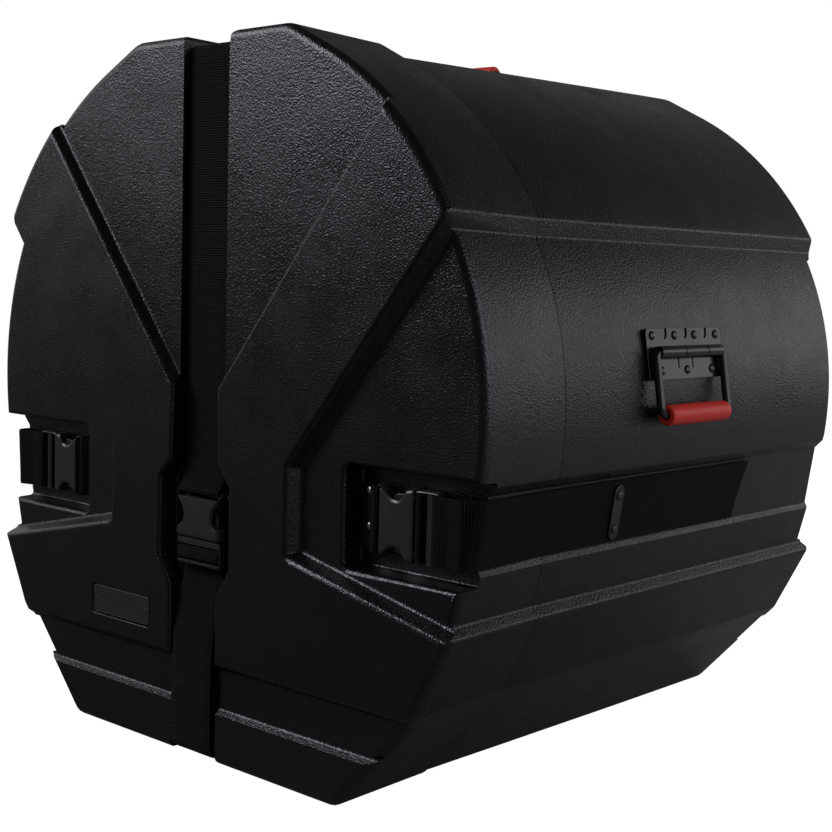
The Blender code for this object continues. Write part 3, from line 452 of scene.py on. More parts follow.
@dataclass
class CaseForm:
    """Measures that the lid and the tub share, with their outline and the relief of the faces."""

    hub: Flat = (0.0, 0.295)
    panel_centre: Flat = (0.0, 0.2970)
    panel_radius: float = 0.2885
    barrel_centre: Flat = (0.0, 0.3000)
    barrel_radius: float = 0.2955
    height: float = 0.585
    rim: float = 0.0080
    arm_slope: float = 1.2246
    panel_span: Flat = (0.2620, 0.4265)
    step_span: Flat = (0.4310, 0.4440)
    barrel_low: float = 0.4490
    barrel_top: float = math.radians(63.0)
    crown_half: float = 0.0905
    top_at_seam: float = 0.5705
    top_at_back: float = 0.5845

    def section(self) -> Outline:
        """The outline of the case, with its mouldings rounded.

        Returns:
            The outline, anticlockwise seen from the front.
        """
        corners = [(0.160, 0.0), (0.2394, 0.0865), (0.2705, 0.1480), (0.2640, 0.1560)]
        corners += [(0.2725, 0.1900), (0.2700, 0.1945), (0.2775, 0.2480), (0.2850, 0.2555)]
        radii = [0.0120, 0.0050, 0.0040, 0.0030, 0.0020, 0.0012, 0.0012, 0.0040]
        low, high = (math.asin((z - self.panel_centre[1]) / self.panel_radius) for z in self.panel_span)
        panel = arc(self.panel_centre, self.panel_radius, low, high, 22)
        step_low = self.on_circle(self.panel_centre, self.panel_radius, self.step_span[0])
        step_high = self.on_circle(self.barrel_centre, self.barrel_radius, self.step_span[1])
        start = math.asin((self.barrel_low - self.barrel_centre[1]) / self.barrel_radius)
        barrel = arc(self.barrel_centre, self.barrel_radius, start, self.barrel_top, 20)
        half = corners + panel + [step_low, step_high] + barrel + [(self.crown_half, self.height)]
        radii += [0.0] * len(panel) + [0.0030, 0.0040] + [0.0] * len(barrel) + [0.0250]
        return rounded(mirrored(half), radii + list(reversed(radii)), 3)

    @staticmethod
    def on_circle(centre: Flat, radius: float, height: float) -> Flat:
        """The right-hand point of a circle at a height."""
        return (centre[0] + math.sqrt(radius**2 - (height - centre[1]) ** 2), height)

    def drawn_in(self, outline: Outline, distance: float) -> Outline:
        """Moves every point of an outline towards the hub.

        Args:
            outline: The outline.
            distance: How far each point moves.

        Returns:
            The new outline.
        """
        moved: Outline = []
        for point in outline:
            spoke = Vector(point) - Vector(self.hub)
            moved.append(tuple(Vector(self.hub) + spoke * (1 - distance / spoke.length)))
        return moved

    @staticmethod
    def grown(outline: Outline, growth: Growth, share: float = 0.0) -> Outline:
        """Widens and raises an outline.

        Args:
            outline: The outline.
            growth: Shares across and up, at the seam and at the end face.
            share: 0 at the seam, 1 at the end face.

        Returns:
            The new outline.
        """
        across, up = (seam + (face - seam) * share for seam, face in zip(*growth))
        return [(x * (1 + across), z * (1 + up)) for x, z in outline]

    def blank(self, name: str, level: float, length: float, end: End, growth: Growth) -> bpy.types.Object:
        """The whole outline as a solid with a rounded rim.

        Args:
            name: Name of the solid.
            level: How far its face lies behind the raised arms.
            length: Depth at which it ends.
            end: The end face that it carries.
            growth: How the outline grows from the seam to the face.

        Returns:
            The solid.
        """
        outline = self.section()
        # A hair of a chamfer at the seam, then the rounded rim of the face
        stations = [(length, 0.0002), (length - 0.0002, 0.0)]
        for k in range(9):
            turn = math.radians(90 * k / 8)
            stations.append((level + self.rim * (1 - math.sin(turn)), self.rim * (1 - math.cos(turn))))
        rings = []
        for depth, inset in stations:
            ring = self.drawn_in(self.grown(outline, growth, 1 - depth / length), inset)
            rings.append([Vector((x, end.world_y(depth), z)) for x, z in ring])
        return loft(name, rings)

    def relief(self, end: End) -> list[Sunken]:
        """The places between the raised arms of an end face.

        Args:
            end: The end face; the back has shallower sides and no wedge.

        Returns:
            The sunken places.
        """
        reach = 0.35
        slope = self.arm_slope
        inner, low, high = 0.109, 0.183, 0.254
        low_slope = (low - 0.1480) / (0.2705 - inner)
        right = [(inner, low), (reach, low - (reach - inner) * low_slope)]
        right += [(reach, high + (reach - inner) * slope), (inner, high)]
        left = [(-x, z) for x, z in reversed(right)]
        top = 0.2716 + reach * slope
        wedge = [(0.0, 0.2716), (reach, top), (-reach, top)]
        band = square((-reach, 0.0400), (reach, 0.0845))
        foot = square((-reach, -0.05), (reach, 0.0600))
        bottom = self.rim - 0.0002
        side, sharp = (0.0060, 0.0, 0.0, 0.0060), (0.0,) * 4
        deep = 0.012 if end is End.FRONT else 0.0095
        places = [
            Sunken("side_right", right, side, deep, 0.0060, 0.0055, 0.0035, deep + bottom),
            Sunken("side_left", left, tuple(reversed(side)), deep, 0.0060, 0.0055, 0.0035, deep + bottom),
            Sunken("foot", foot, sharp, 0.003, 0.0020, 0.0010, 0.0010, 0.003 + bottom),
            Sunken("band", band, sharp, 0.008, 0.0060, 0.0035, 0.0030, 0.008 + bottom),
        ]
        if end is End.FRONT:
            point = (0.0060, 0.0, 0.0)
            places.append(Sunken("wedge", wedge, point, 0.009, 0.0045, 0.0045, 0.0030, 0.009 + bottom))
        return places

    def carve_relief(self, shell: bpy.types.Object, length: float, end: End, growth: Growth) -> None:
        """Lowers the places between the arms of one end face.

        Args:
            shell: The shell to carve.
            length: Depth at which the shell ends.
            end: The end face.
            growth: The shell's growth.
        """
        for place in self.relief(end):
            tool = place.tool(end)
            fuse(tool, self.blank(f"keep_{place.name}", place.depth, length, end, growth))
            fuse(shell, tool)

    @property
    def top_slope(self) -> float:
        """Rise of the tub's flat top for each metre towards the back."""
        return (self.top_at_back - self.top_at_seam) / (BACK_Y - SEAM_Y)

    def top_height(self, y: float) -> float:
        """Height of the tub's flat top at a place along the case."""
        return self.top_at_seam + (self.top_at_back - self.top_at_seam) * (y - SEAM_Y) / (BACK_Y - SEAM_Y)


# Finishes


def linear(code: str) -> tuple[float, float, float, float]:
    """Turns an sRGB hex colour into the linear colour that shaders use.

    Args:
        code: Colour such as "#1a1a1c".

    Returns:
        Red, green, blue and alpha.
    """
    channels = [int(code[i : i + 2], 16) / 255 for i in (1, 3, 5)]
    return (*[c / 12.92 if c <= 0.04045 else ((c + 0.055) / 1.055) ** 2.4 for c in channels], 1.0)


def add_node(
    tree: bpy.types.NodeTree,
    kind: str,
    values: dict | None = None,
    links: dict | None = None,
    **settings: object,
) -> bpy.types.Node:
    """Adds a shader node with its settings, socket values and incoming links.

    Args:
        tree: The material's nodes.
        kind: The node's type name.
        values: Socket name or number to value.
        links: Socket name or number to the output that feeds it.
        **settings: The node's own properties.

    Returns:
        The new node.
    """
    node = tree.nodes.new(kind)
    for key, value in settings.items():
        setattr(node, key, value)
    for key, value in (values or {}).items():
        node.inputs[key].default_value = value
    for key, output in (links or {}).items():
        tree.links.new(output, node.inputs[key])
    return node


@dataclass(frozen=True)
class Finish:
    """What every finish has: its colour and how glossy and metallic it is."""

    name: str
    colour: str
    roughness: float
    metallic: float = 0.0
    ior: float = 1.5
    grain_mm: float = 1.1
    grain_height: float = 0.00008
    spots: float = 60.0
    spread: float = 0.05
    tint: float = 0.10

    def start(self) -> tuple[bpy.types.Material, bpy.types.NodeTree, bpy.types.Node]:
        """A new material with its shader set.

        Returns:
            The material, its nodes and its Principled shader.
        """
        material = bpy.data.materials.new(self.name)
        material.use_nodes = True
        tree = material.node_tree
        shader = tree.nodes["Principled BSDF"]
        shader.inputs["Base Color"].default_value = linear(self.colour)
        shader.inputs["Roughness"].default_value = self.roughness
        shader.inputs["Metallic"].default_value = self.metallic
        if not self.metallic:
            shader.inputs["IOR"].default_value = self.ior
        return material, tree, shader

    def mottle(
        self, tree: bpy.types.NodeTree, shader: bpy.types.Node, coords: bpy.types.NodeSocket
    ) -> None:
        """Varies roughness and colour a little over the surface.

        Args:
            tree: The material's nodes.
            shader: The Principled shader.
            coords: Output that carries the place on the piece.
        """
        values = {"Scale": self.spots, "Detail": 4.0, "Roughness": 0.6}
        cloud = add_node(tree, "ShaderNodeTexNoise", values, {"Vector": coords})
        low, high = self.roughness - self.spread, self.roughness + self.spread
        values = {"From Min": 0.3, "From Max": 0.7, "To Min": low, "To Max": high}
        rough = add_node(tree, "ShaderNodeMapRange", values, {"Value": cloud.outputs["Fac"]})
        tree.links.new(rough.outputs["Result"], shader.inputs["Roughness"])
        base = linear(self.colour)
        dark = tuple(c * (1 - self.tint) for c in base[:3]) + (1.0,)
        pale = tuple(c * (1 + self.tint) for c in base[:3]) + (1.0,)
        ramp = add_node(tree, "ShaderNodeValToRGB", None, {"Fac": cloud.outputs["Fac"]})
        ramp.color_ramp.elements[0].position, ramp.color_ramp.elements[0].color = 0.3, dark
        ramp.color_ramp.elements[1].position, ramp.color_ramp.elements[1].color = 0.7, pale
        tree.links.new(ramp.outputs["Color"], shader.inputs["Base Color"])

    def grain(
        self,
        tree: bpy.types.NodeTree,
        coords: bpy.types.NodeSocket,
        scale: float,
        height: float,
        under: bpy.types.NodeSocket | None = None,
        detail: float = 2.0,
    ) -> bpy.types.NodeSocket:
        """A bump of rounded grain.

        Args:
            tree: The material's nodes.
            coords: Output that carries the place on the piece.
            scale: Grains to the metre.
            height: Height of the grain in metres.
            under: A coarser bump beneath it.
            detail: Octaves of the noise.

        Returns:
            The bump's normal output.
        """
        values = {"Scale": scale, "Detail": detail, "Roughness": 0.5}
        noise = add_node(tree, "ShaderNodeTexNoise", values, {"Vector": coords})
        links = {"Height": noise.outputs["Fac"]}
        if under is not None:
            links["Normal"] = under
        bump = add_node(tree, "ShaderNodeBump", {"Distance": height, "Strength": 1.0}, links)
        return bump.outputs["Normal"]

    def build(self) -> bpy.types.Material:
        """The finish as a plain, slightly uneven surface.

        Returns:
            The material.
        """
        material, tree, shader = self.start()
        coords = add_node(tree, "ShaderNodeTexCoord").outputs["Object"]
        self.mottle(tree, shader, coords)
        bump = self.grain(tree, coords, 1000 / self.grain_mm, self.grain_height)
        tree.links.new(bump, shader.inputs["Normal"])
        return material


@dataclass(frozen=True)
class MouldedGrain(Finish):
    """Rotationally moulded polyethylene: pebbled like leather, with slow waves from cooling."""

    wave_mm: float = 70.0
    wave_height: float = 0.0012
    # Colour of the sheen: a painted tint of light
    painted_sheen_tint: tuple[float, float, float, float] = (0.92, 0.87, 1.0, 1.0)

    def build(self) -> bpy.types.Material:
        """The pebbled black plastic.

        Returns:
            The material.
        """
        material, tree, shader = self.start()
        coords = add_node(tree, "ShaderNodeTexCoord").outputs["Object"]
        self.mottle(tree, shader, coords)
        wave = self.grain(tree, coords, 1000 / self.wave_mm, self.wave_height, detail=1.0)
        pebble = self.grain(tree, coords, 1000 / self.grain_mm, self.grain_height, wave, 0.0)
        tree.links.new(pebble, shader.inputs["Normal"])
        # Painted tint of light: the sheen takes a faint violet cast that stands in for the colour of the
        # light
        shader.inputs["Specular Tint"].default_value = self.painted_sheen_tint
        return material


@dataclass(frozen=True)
class RibbedWeave(Finish):
    """Nylon webbing: ribs across the strap, each crossed by fine warp threads."""

    rib_mm: float = 1.9
    thread_mm: float = 1.1
    rib_height: float = 0.00045
    # Specular level in the ribs' valleys and on their crests: painted shade of the weave
    painted_rib_shade: Flat = (0.0, 0.17)

    def build(self) -> bpy.types.Material:
        """The woven black nylon, drawn from each point's place on the flat strap.

        Returns:
            The material.
        """
        material, tree, shader = self.start()
        cloth = add_node(tree, "ShaderNodeAttribute", attribute_name="weave").outputs["Vector"]
        self.mottle(tree, shader, cloth)
        surface = self.grain(tree, cloth, 3500.0, 0.00006)
        # At scale 1 the bands lie pi / 10 metres apart; the ribs come last, over the threads
        weave = (("Y", self.thread_mm, self.rib_height * 0.35), ("X", self.rib_mm, self.rib_height))
        for way, pitch, height in weave:
            values = {"Scale": 100 * math.pi / pitch, "Distortion": 0.0}
            wave = add_node(
                tree, "ShaderNodeTexWave", values, {"Vector": cloth},
                wave_type="BANDS", bands_direction=way, wave_profile="SIN",
            )
            links = {"Height": wave.outputs["Fac"], "Normal": surface}
            bump = add_node(tree, "ShaderNodeBump", {"Distance": height, "Strength": 1.0}, links)
            surface = bump.outputs["Normal"]
        tree.links.new(surface, shader.inputs["Normal"])
        # Painted shade: the specular level follows the ribs, low throughout and lowest in the valleys,
        # standing in for the shade that the weave casts on itself
        values = {"To Min": self.painted_rib_shade[0], "To Max": self.painted_rib_shade[1]}
        painted_rib_shade = add_node(tree, "ShaderNodeMapRange", values, {"Value": wave.outputs["Fac"]})
        tree.links.new(painted_rib_shade.outputs["Result"], shader.inputs["Specular IOR Level"])
        shader.inputs["Sheen Weight"].default_value = 0.04
        shader.inputs["Sheen Roughness"].default_value = 0.4
        return material


@dataclass(frozen=True)
class CellFoam(Finish):
    """Closed-cell foam: fine cells pressed flat at the skin."""

    cell_mm: float = 1.4

    def build(self) -> bpy.types.Material:
        """The dark foam.

        Returns:
            The material.
        """
        material, tree, shader = self.start()
        coords = add_node(tree, "ShaderNodeTexCoord").outputs["Object"]
        self.mottle(tree, shader, coords)
        cells = add_node(tree, "ShaderNodeTexVoronoi", {"Scale": 1000 / self.cell_mm}, {"Vector": coords})
        links = {"Height": cells.outputs["Distance"]}
        dent = add_node(tree, "ShaderNodeBump", {"Distance": 0.0002, "Strength": 1.0}, links)
        tree.links.new(dent.outputs["Normal"], shader.inputs["Normal"])
        shader.inputs["Sheen Weight"].default_value = 0.3
        return material


@dataclass(frozen=True)
class Finishes:
    """Every material of the case, made once."""

    plastic: bpy.types.Material
    webbing: bpy.types.Material
    acetal: bpy.types.Material
    coated: bpy.types.Material
    dull_steel: bpy.types.Material
    bright_steel: bpy.types.Material
    rubber: bpy.types.Material
    foam: bpy.types.Material

    @classmethod
    def mixed(cls) -> "Finishes":
        """Makes the materials.

        Returns:
            The set.
        """
        return cls(
            # Satin black with a fine leathery pebble: broken, sparkling highlights on the rims
            plastic=MouldedGrain(
                "rotomoulded_polyethylene", "#09090b", 0.28, grain_mm=1.35, grain_height=0.00033, spots=25.0
            ).build(),
            # Matt black with crosswise ribs that catch light as thin lines, their valleys darkened by painted
            # shade
            webbing=RibbedWeave("woven_nylon_webbing", "#09090a", 0.74, tint=0.2).build(),
            # Smooth and glossier than the shells, so that it reads silvery in the light; its dark grey is the
            # acetal's own tone lifted by painted sheen
            acetal=Finish(
                "moulded_acetal", "#28282b", 0.30, ior=1.48, grain_mm=0.9, grain_height=0.00002
            ).build(),
            # Glossy coating with a faint orange peel
            coated=Finish(
                "powder_coated_steel", "#0c0c0e", 0.20, ior=1.55, grain_mm=1.6, grain_height=0.00004
            ).build(),
            # Grey plated steel, brushed by wear
            dull_steel=Finish(
                "dull_plated_steel", "#4a4a4d", 0.42, metallic=1.0, grain_mm=0.7, grain_height=0.00003
            ).build(),
            # Brighter plating for the small rivets
            bright_steel=Finish(
                "zinc_plated_steel", "#b9b9bc", 0.30, metallic=1.0, grain_mm=0.5, grain_height=0.00002
            ).build(),
            # Saturated red, soft highlight, slightly uneven
            rubber=Finish(
                "moulded_red_rubber", "#c4241a", 0.46, grain_mm=0.8, grain_height=0.00005, tint=0.06
            ).build(),
            # Dull dark grey with fine cells
            foam=CellFoam("closed_cell_foam", "#2a2a2c", 0.92).build(),
        )


# The case's sub-assemblies


@dataclass
class Shell:
    """What the lid and the tub have in common as mouldings."""

    form: CaseForm
    plastic: bpy.types.Material

    def finish_off(self, shell: bpy.types.Object, body: str, node: str) -> bpy.types.Object:
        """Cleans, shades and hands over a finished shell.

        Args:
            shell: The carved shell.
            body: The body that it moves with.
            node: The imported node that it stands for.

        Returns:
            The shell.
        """
        tidy(shell)
        smooth(shell, 40.0)
        shell.data.materials.clear()
        shell.data.materials.append(self.plastic)
        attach(shell, body)
        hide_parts(node)
        return shell

    def box_tool(self, name: str, low: Sequence[float], high: Sequence[float]) -> bpy.types.Object:
        """A square-edged tool between two corners."""
        return loft(name, [[Vector((x, y, z)) for x, y in square(low, high)] for z in (low[2], high[2])])

    def cavity(self) -> Outline:
        """The inside outline of the tub.

        Returns:
            The outline.
        """
        half = [(0.1650, 0.0145), (0.2335, 0.0895), (0.2600, 0.1450), (0.2580, 0.1560)]
        half += [(0.2645, 0.1930), (0.2715, 0.2500)]
        inner = self.form.panel_radius - 0.0060
        low = math.asin((0.2590 - self.form.panel_centre[1]) / inner)
        high = math.asin((0.4360 - self.form.panel_centre[1]) / inner)
        half += arc(self.form.panel_centre, inner, low, high, 12)
        inner = self.form.barrel_radius - 0.0060
        low = math.asin((0.4450 - self.form.barrel_centre[1]) / inner)
        high = math.asin((self.form.top_at_seam - 0.0060 - self.form.barrel_centre[1]) / inner)
        half += arc(self.form.barrel_centre, inner, low, high, 12)
        return mirrored(half)


@dataclass
class Lid(Shell):
    """The lid with its relief, strap groove, buckle bay and two side pockets."""

    growth: Growth = LID_GROWTH
    groove_half: float = GROOVE_HALF
    groove_depth: float = GROOVE_DEPTH
    bay_half: float = 0.0435
    pocket_depth: float = POCKET_DEPTH
    pocket_inner: float = 0.160
    pocket_span: Flat = (0.182, 0.260)

    def groove(self) -> list[Sunken]:
        """The groove down the middle and the wider bay for the centre buckle.

        Returns:
            Both sunken places.
        """
        half = self.groove_half
        run = square((-half, -0.05), (half, 0.65))
        right = [(half - 0.0005, 0.139), (self.bay_half, 0.162)]
        right += [(self.bay_half, 0.229), (half - 0.0005, 0.247)]
        bay = mirrored(right)
        none = (0.0,) * 4
        soft = (0.001, 0.006, 0.006, 0.001, 0.001, 0.006, 0.006, 0.001)
        return [
            Sunken("groove", run, none, self.groove_depth, 0.0010, 0.0030, 0.0012),
            Sunken("bay", bay, soft, self.groove_depth + 0.0001, 0.0030, 0.0035, 0.0020),
        ]

    def pocket(self, side: Side) -> bpy.types.Object:
        """The cutter for one pocket, open at its outer end.

        Args:
            side: Which side.

        Returns:
            The cutter.
        """
        depth = self.pocket_depth
        rings = []
        # Down the wall: how far it stands out, and how deep
        walls = [(0.006, -0.004), (0.0035, 0.012), (0.0024, 0.0124), (0.0012, 0.0132), (0.0004, 0.0145)]
        walls += [(0.0, 0.0165), (-0.0006, depth - 0.0030), (-0.0014, depth - 0.0012), (-0.0030, depth)]
        for reach, y in walls:
            low, high = self.pocket_span[0] - reach, self.pocket_span[1] + reach
            outline = square((self.pocket_inner - reach, low), (0.31, high))
            ring = rounded(outline, (0.007 + reach, 0.0, 0.0, 0.007 + reach), 5)
            rings.append([Vector((side.value * x, FRONT_Y + y, z)) for x, z in ring])
        return loft(f"tool_pocket_{side.word}", rings)

    def badge_place(self) -> Sunken:
        """The shallow recess for the bare plate.

        Returns:
            The sunken place.
        """
        (x, z), half_x, half_z = BADGE_CENTRE, 0.0405, 0.0135
        outline = square((x - half_x, z - half_z), (x + half_x, z + half_z))
        return Sunken("badge", outline, (0.0035,) * 4, 0.0022, 0.0006, 0.0010, 0.0004)

    def hollow(self) -> bpy.types.Object:
        """The cutter for the inside, which leaves the pockets' walls standing.

        Returns:
            The cutter.
        """
        outline = self.form.drawn_in(self.cavity(), -0.0034)
        ends = (LID_DEPTH + 0.01, 0.023)
        tool = loft("tool_lid_hollow", [[Vector((x, FRONT_Y + d, z)) for x, z in outline] for d in ends])
        for side in Side:
            near, far = sorted((side.value * 0.154, side.value * 0.35))
            fuse(tool, self.box_tool("keep_pocket", (near, FRONT_Y, 0.176), (far, FRONT_Y + 0.038, 0.266)))
        return tool

    def strap_channel(self, floor: float, lip: float) -> bpy.types.Object:
        """The cutter that carries the groove over or under the lid, with eased edges.

        Args:
            floor: Height of its floor.
            lip: Height of the lid's surface there.

        Returns:
            The cutter.
        """
        half, way = self.groove_half, 1 if lip > floor else -1
        profile = [(half, floor), (half, lip - way * 0.0030), (half + 0.0009, lip - way * 0.0009)]
        profile += [(half + 0.0030, lip), (half + 0.0120, lip + way * 0.0090)]
        ring = mirrored(profile)
        ends = (FRONT_Y - 0.01, SEAM_Y + 0.01)
        return loft("tool_channel", [[Vector((x, y, z)) for x, z in ring] for y in ends])

    def build(self) -> bpy.types.Object:
        """Carves the lid.

        Returns:
            The lid's shell.
        """
        length = LID_DEPTH - SEAM_GAP
        shell = self.form.blank("lid_moulding", 0.0, length, End.FRONT, self.growth)
        self.form.carve_relief(shell, length, End.FRONT, self.growth)
        for place in (*self.groove(), self.badge_place()):
            fuse(shell, place.tool(End.FRONT))
        fuse(shell, self.strap_channel(TOP_GROOVE_Z, 0.5858))
        fuse(shell, self.strap_channel(UNDER_GROOVE_Z, 0.0))
        for side in Side:
            fuse(shell, self.pocket(side))
        fuse(shell, self.hollow())
        return self.finish_off(shell, "lid", "lid_shell")


@dataclass
class Tub(Shell):
    """The tub: the same relief behind, a flat top, and a collar that enters the lid."""

    growth: Growth = TUB_GROWTH
    under_lift: float = 0.0052

    def build(self) -> bpy.types.Object:
        """Carves the tub.

        Returns:
            The tub's shell.
        """
        length = CASE_DEPTH - LID_DEPTH - SEAM_GAP
        shell = self.form.blank("tub_moulding", 0.0, length, End.BACK, self.growth)
        self.form.carve_relief(shell, length, End.BACK, self.growth)
        fuse(shell, self.top_tool())
        fuse(shell, self.under_tool())
        groove = (-GROOVE_HALF, FRONT_Y, -0.01), (GROOVE_HALF, FRONT_Y + 0.238, UNDER_GROOVE_Z)
        fuse(shell, self.box_tool("tool_tub_under", *groove))
        seam = CASE_DEPTH - LID_DEPTH
        outline = self.form.drawn_in(self.cavity(), -0.0028)
        rings = []
        for depth, inset in ((seam + 0.012, 0.0012), (seam + 0.0105, 0.0), (seam - 0.020, 0.0)):
            rings.append([Vector((x, BACK_Y - depth, z)) for x, z in self.form.drawn_in(outline, inset)])
        fuse(shell, loft("tub_collar", rings), Fuse.JOIN)
        inside = [[Vector((x, BACK_Y - d, z)) for x, z in self.cavity()] for d in (seam + 0.03, 0.014)]
        fuse(shell, loft("tool_tub_hollow", inside))
        return self.finish_off(shell, "tub", "body_shell")

    def under_tool(self) -> bpy.types.Object:
        """The cutter that lifts the underside off the floor between the lid and the feet behind.

        Returns:
            The cutter.
        """
        ring = [(SEAM_Y - 0.02, -0.01), (BACK_Y - 0.060, -0.01), (BACK_Y - 0.075, 0.0010)]
        ring.append((SEAM_Y - 0.02, self.under_lift))
        return loft("tool_under", [[Vector((x, y, z)) for y, z in ring] for x in (-0.25, 0.25)])

    def top_tool(self) -> bpy.types.Object:
        """The cutter for the tub's flat top.

        Returns:
            The cutter.
        """
        ends = [(y, self.form.top_height(y)) for y in (SEAM_Y - 0.02, BACK_Y + 0.02)]
        ring = ends + [(ends[1][0], 0.65), (ends[0][0], 0.65)]
        return loft("tool_top", [[Vector((x, y, z)) for y, z in ring] for x in (-0.2, 0.2)])


@dataclass(frozen=True)
class Place:
    """A local frame on the case: X along, Z away from the surface."""

    origin: Sequence[float]
    along: Sequence[float]
    outward: Sequence[float]

    def at(self, x: float, y: float, z: float) -> Vector:
        """The world point of a local one."""
        along, outward = Vector(self.along).normalized(), Vector(self.outward).normalized()
        return Vector(self.origin) + along * x + outward.cross(along) * y + outward * z

    def stack(self, name: str, layers: Sequence[tuple[float, Outline]]) -> bpy.types.Object:
        """A body through flat outlines, each at its height.

        Args:
            name: Name of the body.
            layers: Pairs of height and outline.

        Returns:
            The body.
        """
        return loft(name, [[self.at(x, y, z) for x, y in outline] for z, outline in layers])

    def run(self, name: str, sections: Sequence[tuple[float, Outline]]) -> bpy.types.Object:
        """A body along local X through sections in local Y and Z.

        Args:
            name: Name of the body.
            sections: Pairs of place along X and section.

        Returns:
            The body.
        """
        return loft(name, [[self.at(x, y, z) for y, z in section] for x, section in sections])

    def box(self, name: str, low: Sequence[float], high: Sequence[float]) -> bpy.types.Object:
        """A square-edged tool between two local corners."""
        ring = square(low, high)
        return self.stack(name, [(low[2], ring), (high[2], ring)])

    def dome(
        self, name: str, centre: Flat, seat: float, radius: float, rise: float, deep: float = 0.0
    ) -> bpy.types.Object:
        """A domed rivet head with its shank below.

        Args:
            name: Name of the rivet.
            centre: Its local place.
            seat: Height on which the head sits.
            radius: Radius of the head.
            rise: Height of the dome.
            deep: Length of the shank.

        Returns:
            The rivet.
        """
        profile = [(seat - deep, radius * 0.5), (seat, radius * 0.5)] if deep else []
        profile += [(seat, radius * 0.97), (seat + rise * 0.16, radius)]
        for k in range(1, 6):
            turn = math.radians(90 * k / 5.6)
            profile.append((seat + rise * (0.16 + 0.84 * math.sin(turn)), radius * math.cos(turn)))
        layers = []
        for z, size in profile:
            layers.append((z, [(centre[0] + x, centre[1] + y) for x, y in circle(size, 20)]))
        return self.stack(name, layers)


@dataclass
class Webbing:
    """Ribbed nylon webbing laid through stations."""

    material: bpy.types.Material
    width: float = 0.0508
    thickness: float = 0.0018

    @staticmethod
    def eased(stations: Sequence[Station], reach: float, step: float) -> list[Station]:
        """Rounds the corners of a path and fills its straights with even steps.

        Args:
            stations: Centre, across and outward at each corner of the path.
            reach: How far from a corner its rounding starts.
            step: Longest step left in a straight.

        Returns:
            The finer stations.
        """
        fine = [stations[0]]
        for i in range(1, len(stations) - 1):
            before, here, after = stations[i - 1], stations[i], stations[i + 1]
            into, out = here[0] - before[0], after[0] - here[0]
            start = min(reach / into.length, 0.48)
            end = min(reach / out.length, 0.48)
            first = [here[k].lerp(before[k], start) for k in range(3)]
            last = [here[k].lerp(after[k], end) for k in range(3)]
            for share in (0.0, 0.25, 0.5, 0.75, 1.0):
                before_bend = [first[k].lerp(here[k], share) for k in range(3)]
                after_bend = [here[k].lerp(last[k], share) for k in range(3)]
                fine.append(tuple(a.lerp(b, share) for a, b in zip(before_bend, after_bend)))
        fine.append(stations[-1])
        even = [fine[0]]
        for target in fine[1:]:
            origin = even[-1]
            length = (target[0] - origin[0]).length
            if length < 0.00012:
                continue
            pieces = max(1, math.ceil(length / step))
            for k in range(1, pieces + 1):
                even.append(tuple(origin[j].lerp(target[j], k / pieces) for j in range(3)))
        return even

    def profile(self) -> Outline:
        """Section of the webbing: flat, with thin round selvedges.

        Returns:
            The section, across and out.
        """
        half, thick, middle = self.width / 2, self.thickness / 2, 0.012
        side = [(half - 0.0026, thick), (half - 0.0020, thick * 0.80), (half - 0.0007, thick * 0.86)]
        side.append((half - 0.0002, thick * 0.5))
        right = [(x, -z) for x, z in side] + [(half, 0.0)] + list(reversed(side))
        left = [(-x, z) for x, z in reversed(right)]
        return right + [(middle, thick), (-middle, thick)] + left + [(-middle, -thick), (middle, -thick)]

    def lay(
        self, name: str, stations: Sequence, reach: float = 0.0030, step: float = 0.006, slant: float = 0.0
    ) -> bpy.types.Object:
        """Lays one strap.

        Args:
            name: Name of the strap.
            stations: Centre, across and outward at each corner of the path.
            reach: How far from a corner its rounding starts.
            step: Longest step along the strap.
            slant: How far one edge runs on past the middle at the end.

        Returns:
            The strap.
        """
        path = self.eased([tuple(Vector(v) for v in station) for station in stations], reach, step)
        rings, cloth, gone = [], [], 0.0
        count = len(path)
        for i, (centre, across, outward) in enumerate(path):
            along = (path[min(i + 1, count - 1)][0] - path[max(i - 1, 0)][0]).normalized()
            side = (across - along * across.dot(along)).normalized()
            lift = side.cross(along)
            lift = lift if lift.dot(outward) > 0 else -lift
            gone += (centre - path[i - 1][0]).length if i else 0.0
            ahead = slant if i == count - 1 else 0.0
            ring, flat = [], []
            for x, z in self.profile():
                run = ahead * x / (self.width / 2)
                ring.append(centre + side * x + lift * z + along * run)
                flat.append(Vector((gone + run, x, z)))
            rings.append(ring)
            cloth.append(flat)
        strap = loft(name, rings, weave=cloth)
        smooth(strap, 50.0, False)
        return strap


def hand_over(
    piece: bpy.types.Object, material: bpy.types.Material, body: str | tuple, nodes: Sequence[str]
) -> None:
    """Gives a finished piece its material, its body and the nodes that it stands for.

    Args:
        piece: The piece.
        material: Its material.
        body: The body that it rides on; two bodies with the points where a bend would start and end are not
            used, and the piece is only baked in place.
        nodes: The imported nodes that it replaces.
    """
    piece.data.materials.clear()
    piece.data.materials.append(material)
    if isinstance(body, str):
        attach(piece, body)
    else:
        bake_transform(piece)
    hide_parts(*nodes)


def gathered(name: str, pieces: Sequence[bpy.types.Object]) -> bpy.types.Object:
    """Joins loose parts into one piece.

    Args:
        name: Name of the piece.
        pieces: Its parts, the first of which stays.

    Returns:
        The joined piece.
    """
    pick(pieces[0])
    for piece in pieces[1:]:
        piece.select_set(True)
    bpy.ops.object.join()
    pieces[0].name = name
    return pieces[0]


